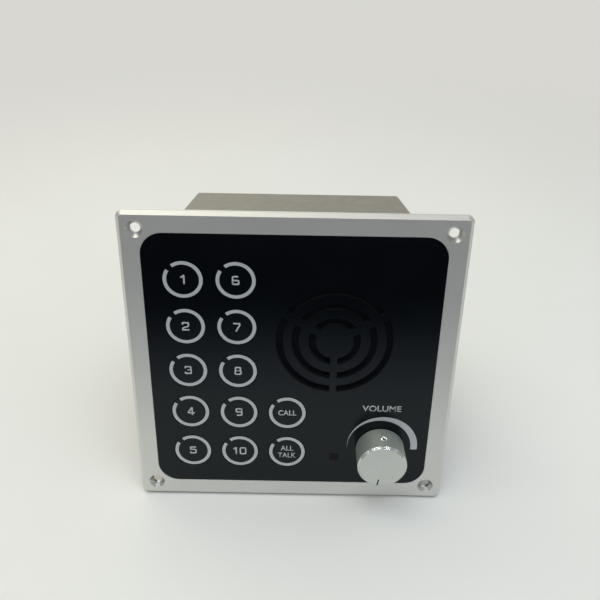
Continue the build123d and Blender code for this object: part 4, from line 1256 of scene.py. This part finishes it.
# %% Cut one sector and repeat it
sector_planes = [
    (ring_middle, (-sin(half_sector), 0, sign * cos(half_sector))) for sign in (-1, 1)
]
sector = cut_copy("ring_sector", "cone_surround", sector_planes)
for number in range(sector_count):
    piece = sector.copy()
    piece.data = sector.data.copy()
    piece.name = f"ring_sector_{number + 1}"
    bpy.context.collection.objects.link(piece)
    turn = 2 * half_sector * number
    piece.rotation_euler = (0, turn, 0)
    piece.location = ring_middle - piece.rotation_euler.to_matrix() @ ring_middle
    seat_in_mesh(piece)
    outward = Vector((cos(turn), 0, -sin(turn)))
    ring_middle + outward * still_radius
    ring_middle + outward * moving_radius
    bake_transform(piece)
print("sectors:", sector_count, "of", len(sector.data.polygons), "faces")
bpy.data.objects.remove(sector)

# %% [markdown]
# ## The scale of the volume knob
#
# The crescent grows from nothing at the left to its full width at the right, where it is cut off
# square. It is a disc with a second, shifted disc cut out of it by a Boolean modifier, and then
# bisected along the cut.

# %% Measures of the crescent
outer_disc = (42.15, -41.25, 16.35)
inner_disc = (40.65, -41.65, 14.8)
crescent_end = -42.9
disc_steps = 256


def ink_disc(centre_x, centre_z, radius, thickness):
    """A disc as thick as given, facing the user."""
    clear_selection()
    bpy.ops.mesh.primitive_circle_add(
        vertices=disc_steps,
        radius=radius * MM,
        fill_type="NGON",
        location=(centre_x * MM, film_front - ink_lift, centre_z * MM),
        rotation=(radians(90), 0, 0),
    )
    disc = bpy.context.object
    seat_in_mesh(disc)
    bpy.ops.object.mode_set(mode="EDIT")
    thicken((0, -thickness, 0))
    return disc


# %% Cut the crescent
crescent = ink_disc(*outer_disc, ink_thickness)
hollow = ink_disc(*inner_disc, 4 * ink_thickness)
hollow.location.y = ink_thickness
seat_in_mesh(hollow)
select_only(crescent)
cutting = crescent.modifiers.new("cut_hollow", "BOOLEAN")
cutting.operation = "DIFFERENCE"
cutting.object = hollow
bpy.ops.object.modifier_apply(modifier=cutting.name)
bpy.data.objects.remove(hollow)
bpy.ops.object.mode_set(mode="EDIT")
bpy.ops.mesh.select_all(action="SELECT")
bpy.ops.mesh.bisect(
    plane_co=(0, 0, crescent_end * MM),
    plane_no=(0, 0, 1),
    use_fill=True,
    clear_inner=True,
)
bpy.ops.object.mode_set(mode="OBJECT")
join_prints("print_volume_scale", [crescent], "housing")
volume_word = lettering("VOLUME", 40.8, -20.3, 17.7, 3.15, 0.012)
join_prints("print_volume_word", [volume_word], "housing")
print("crescent faces:", len(crescent.data.polygons))
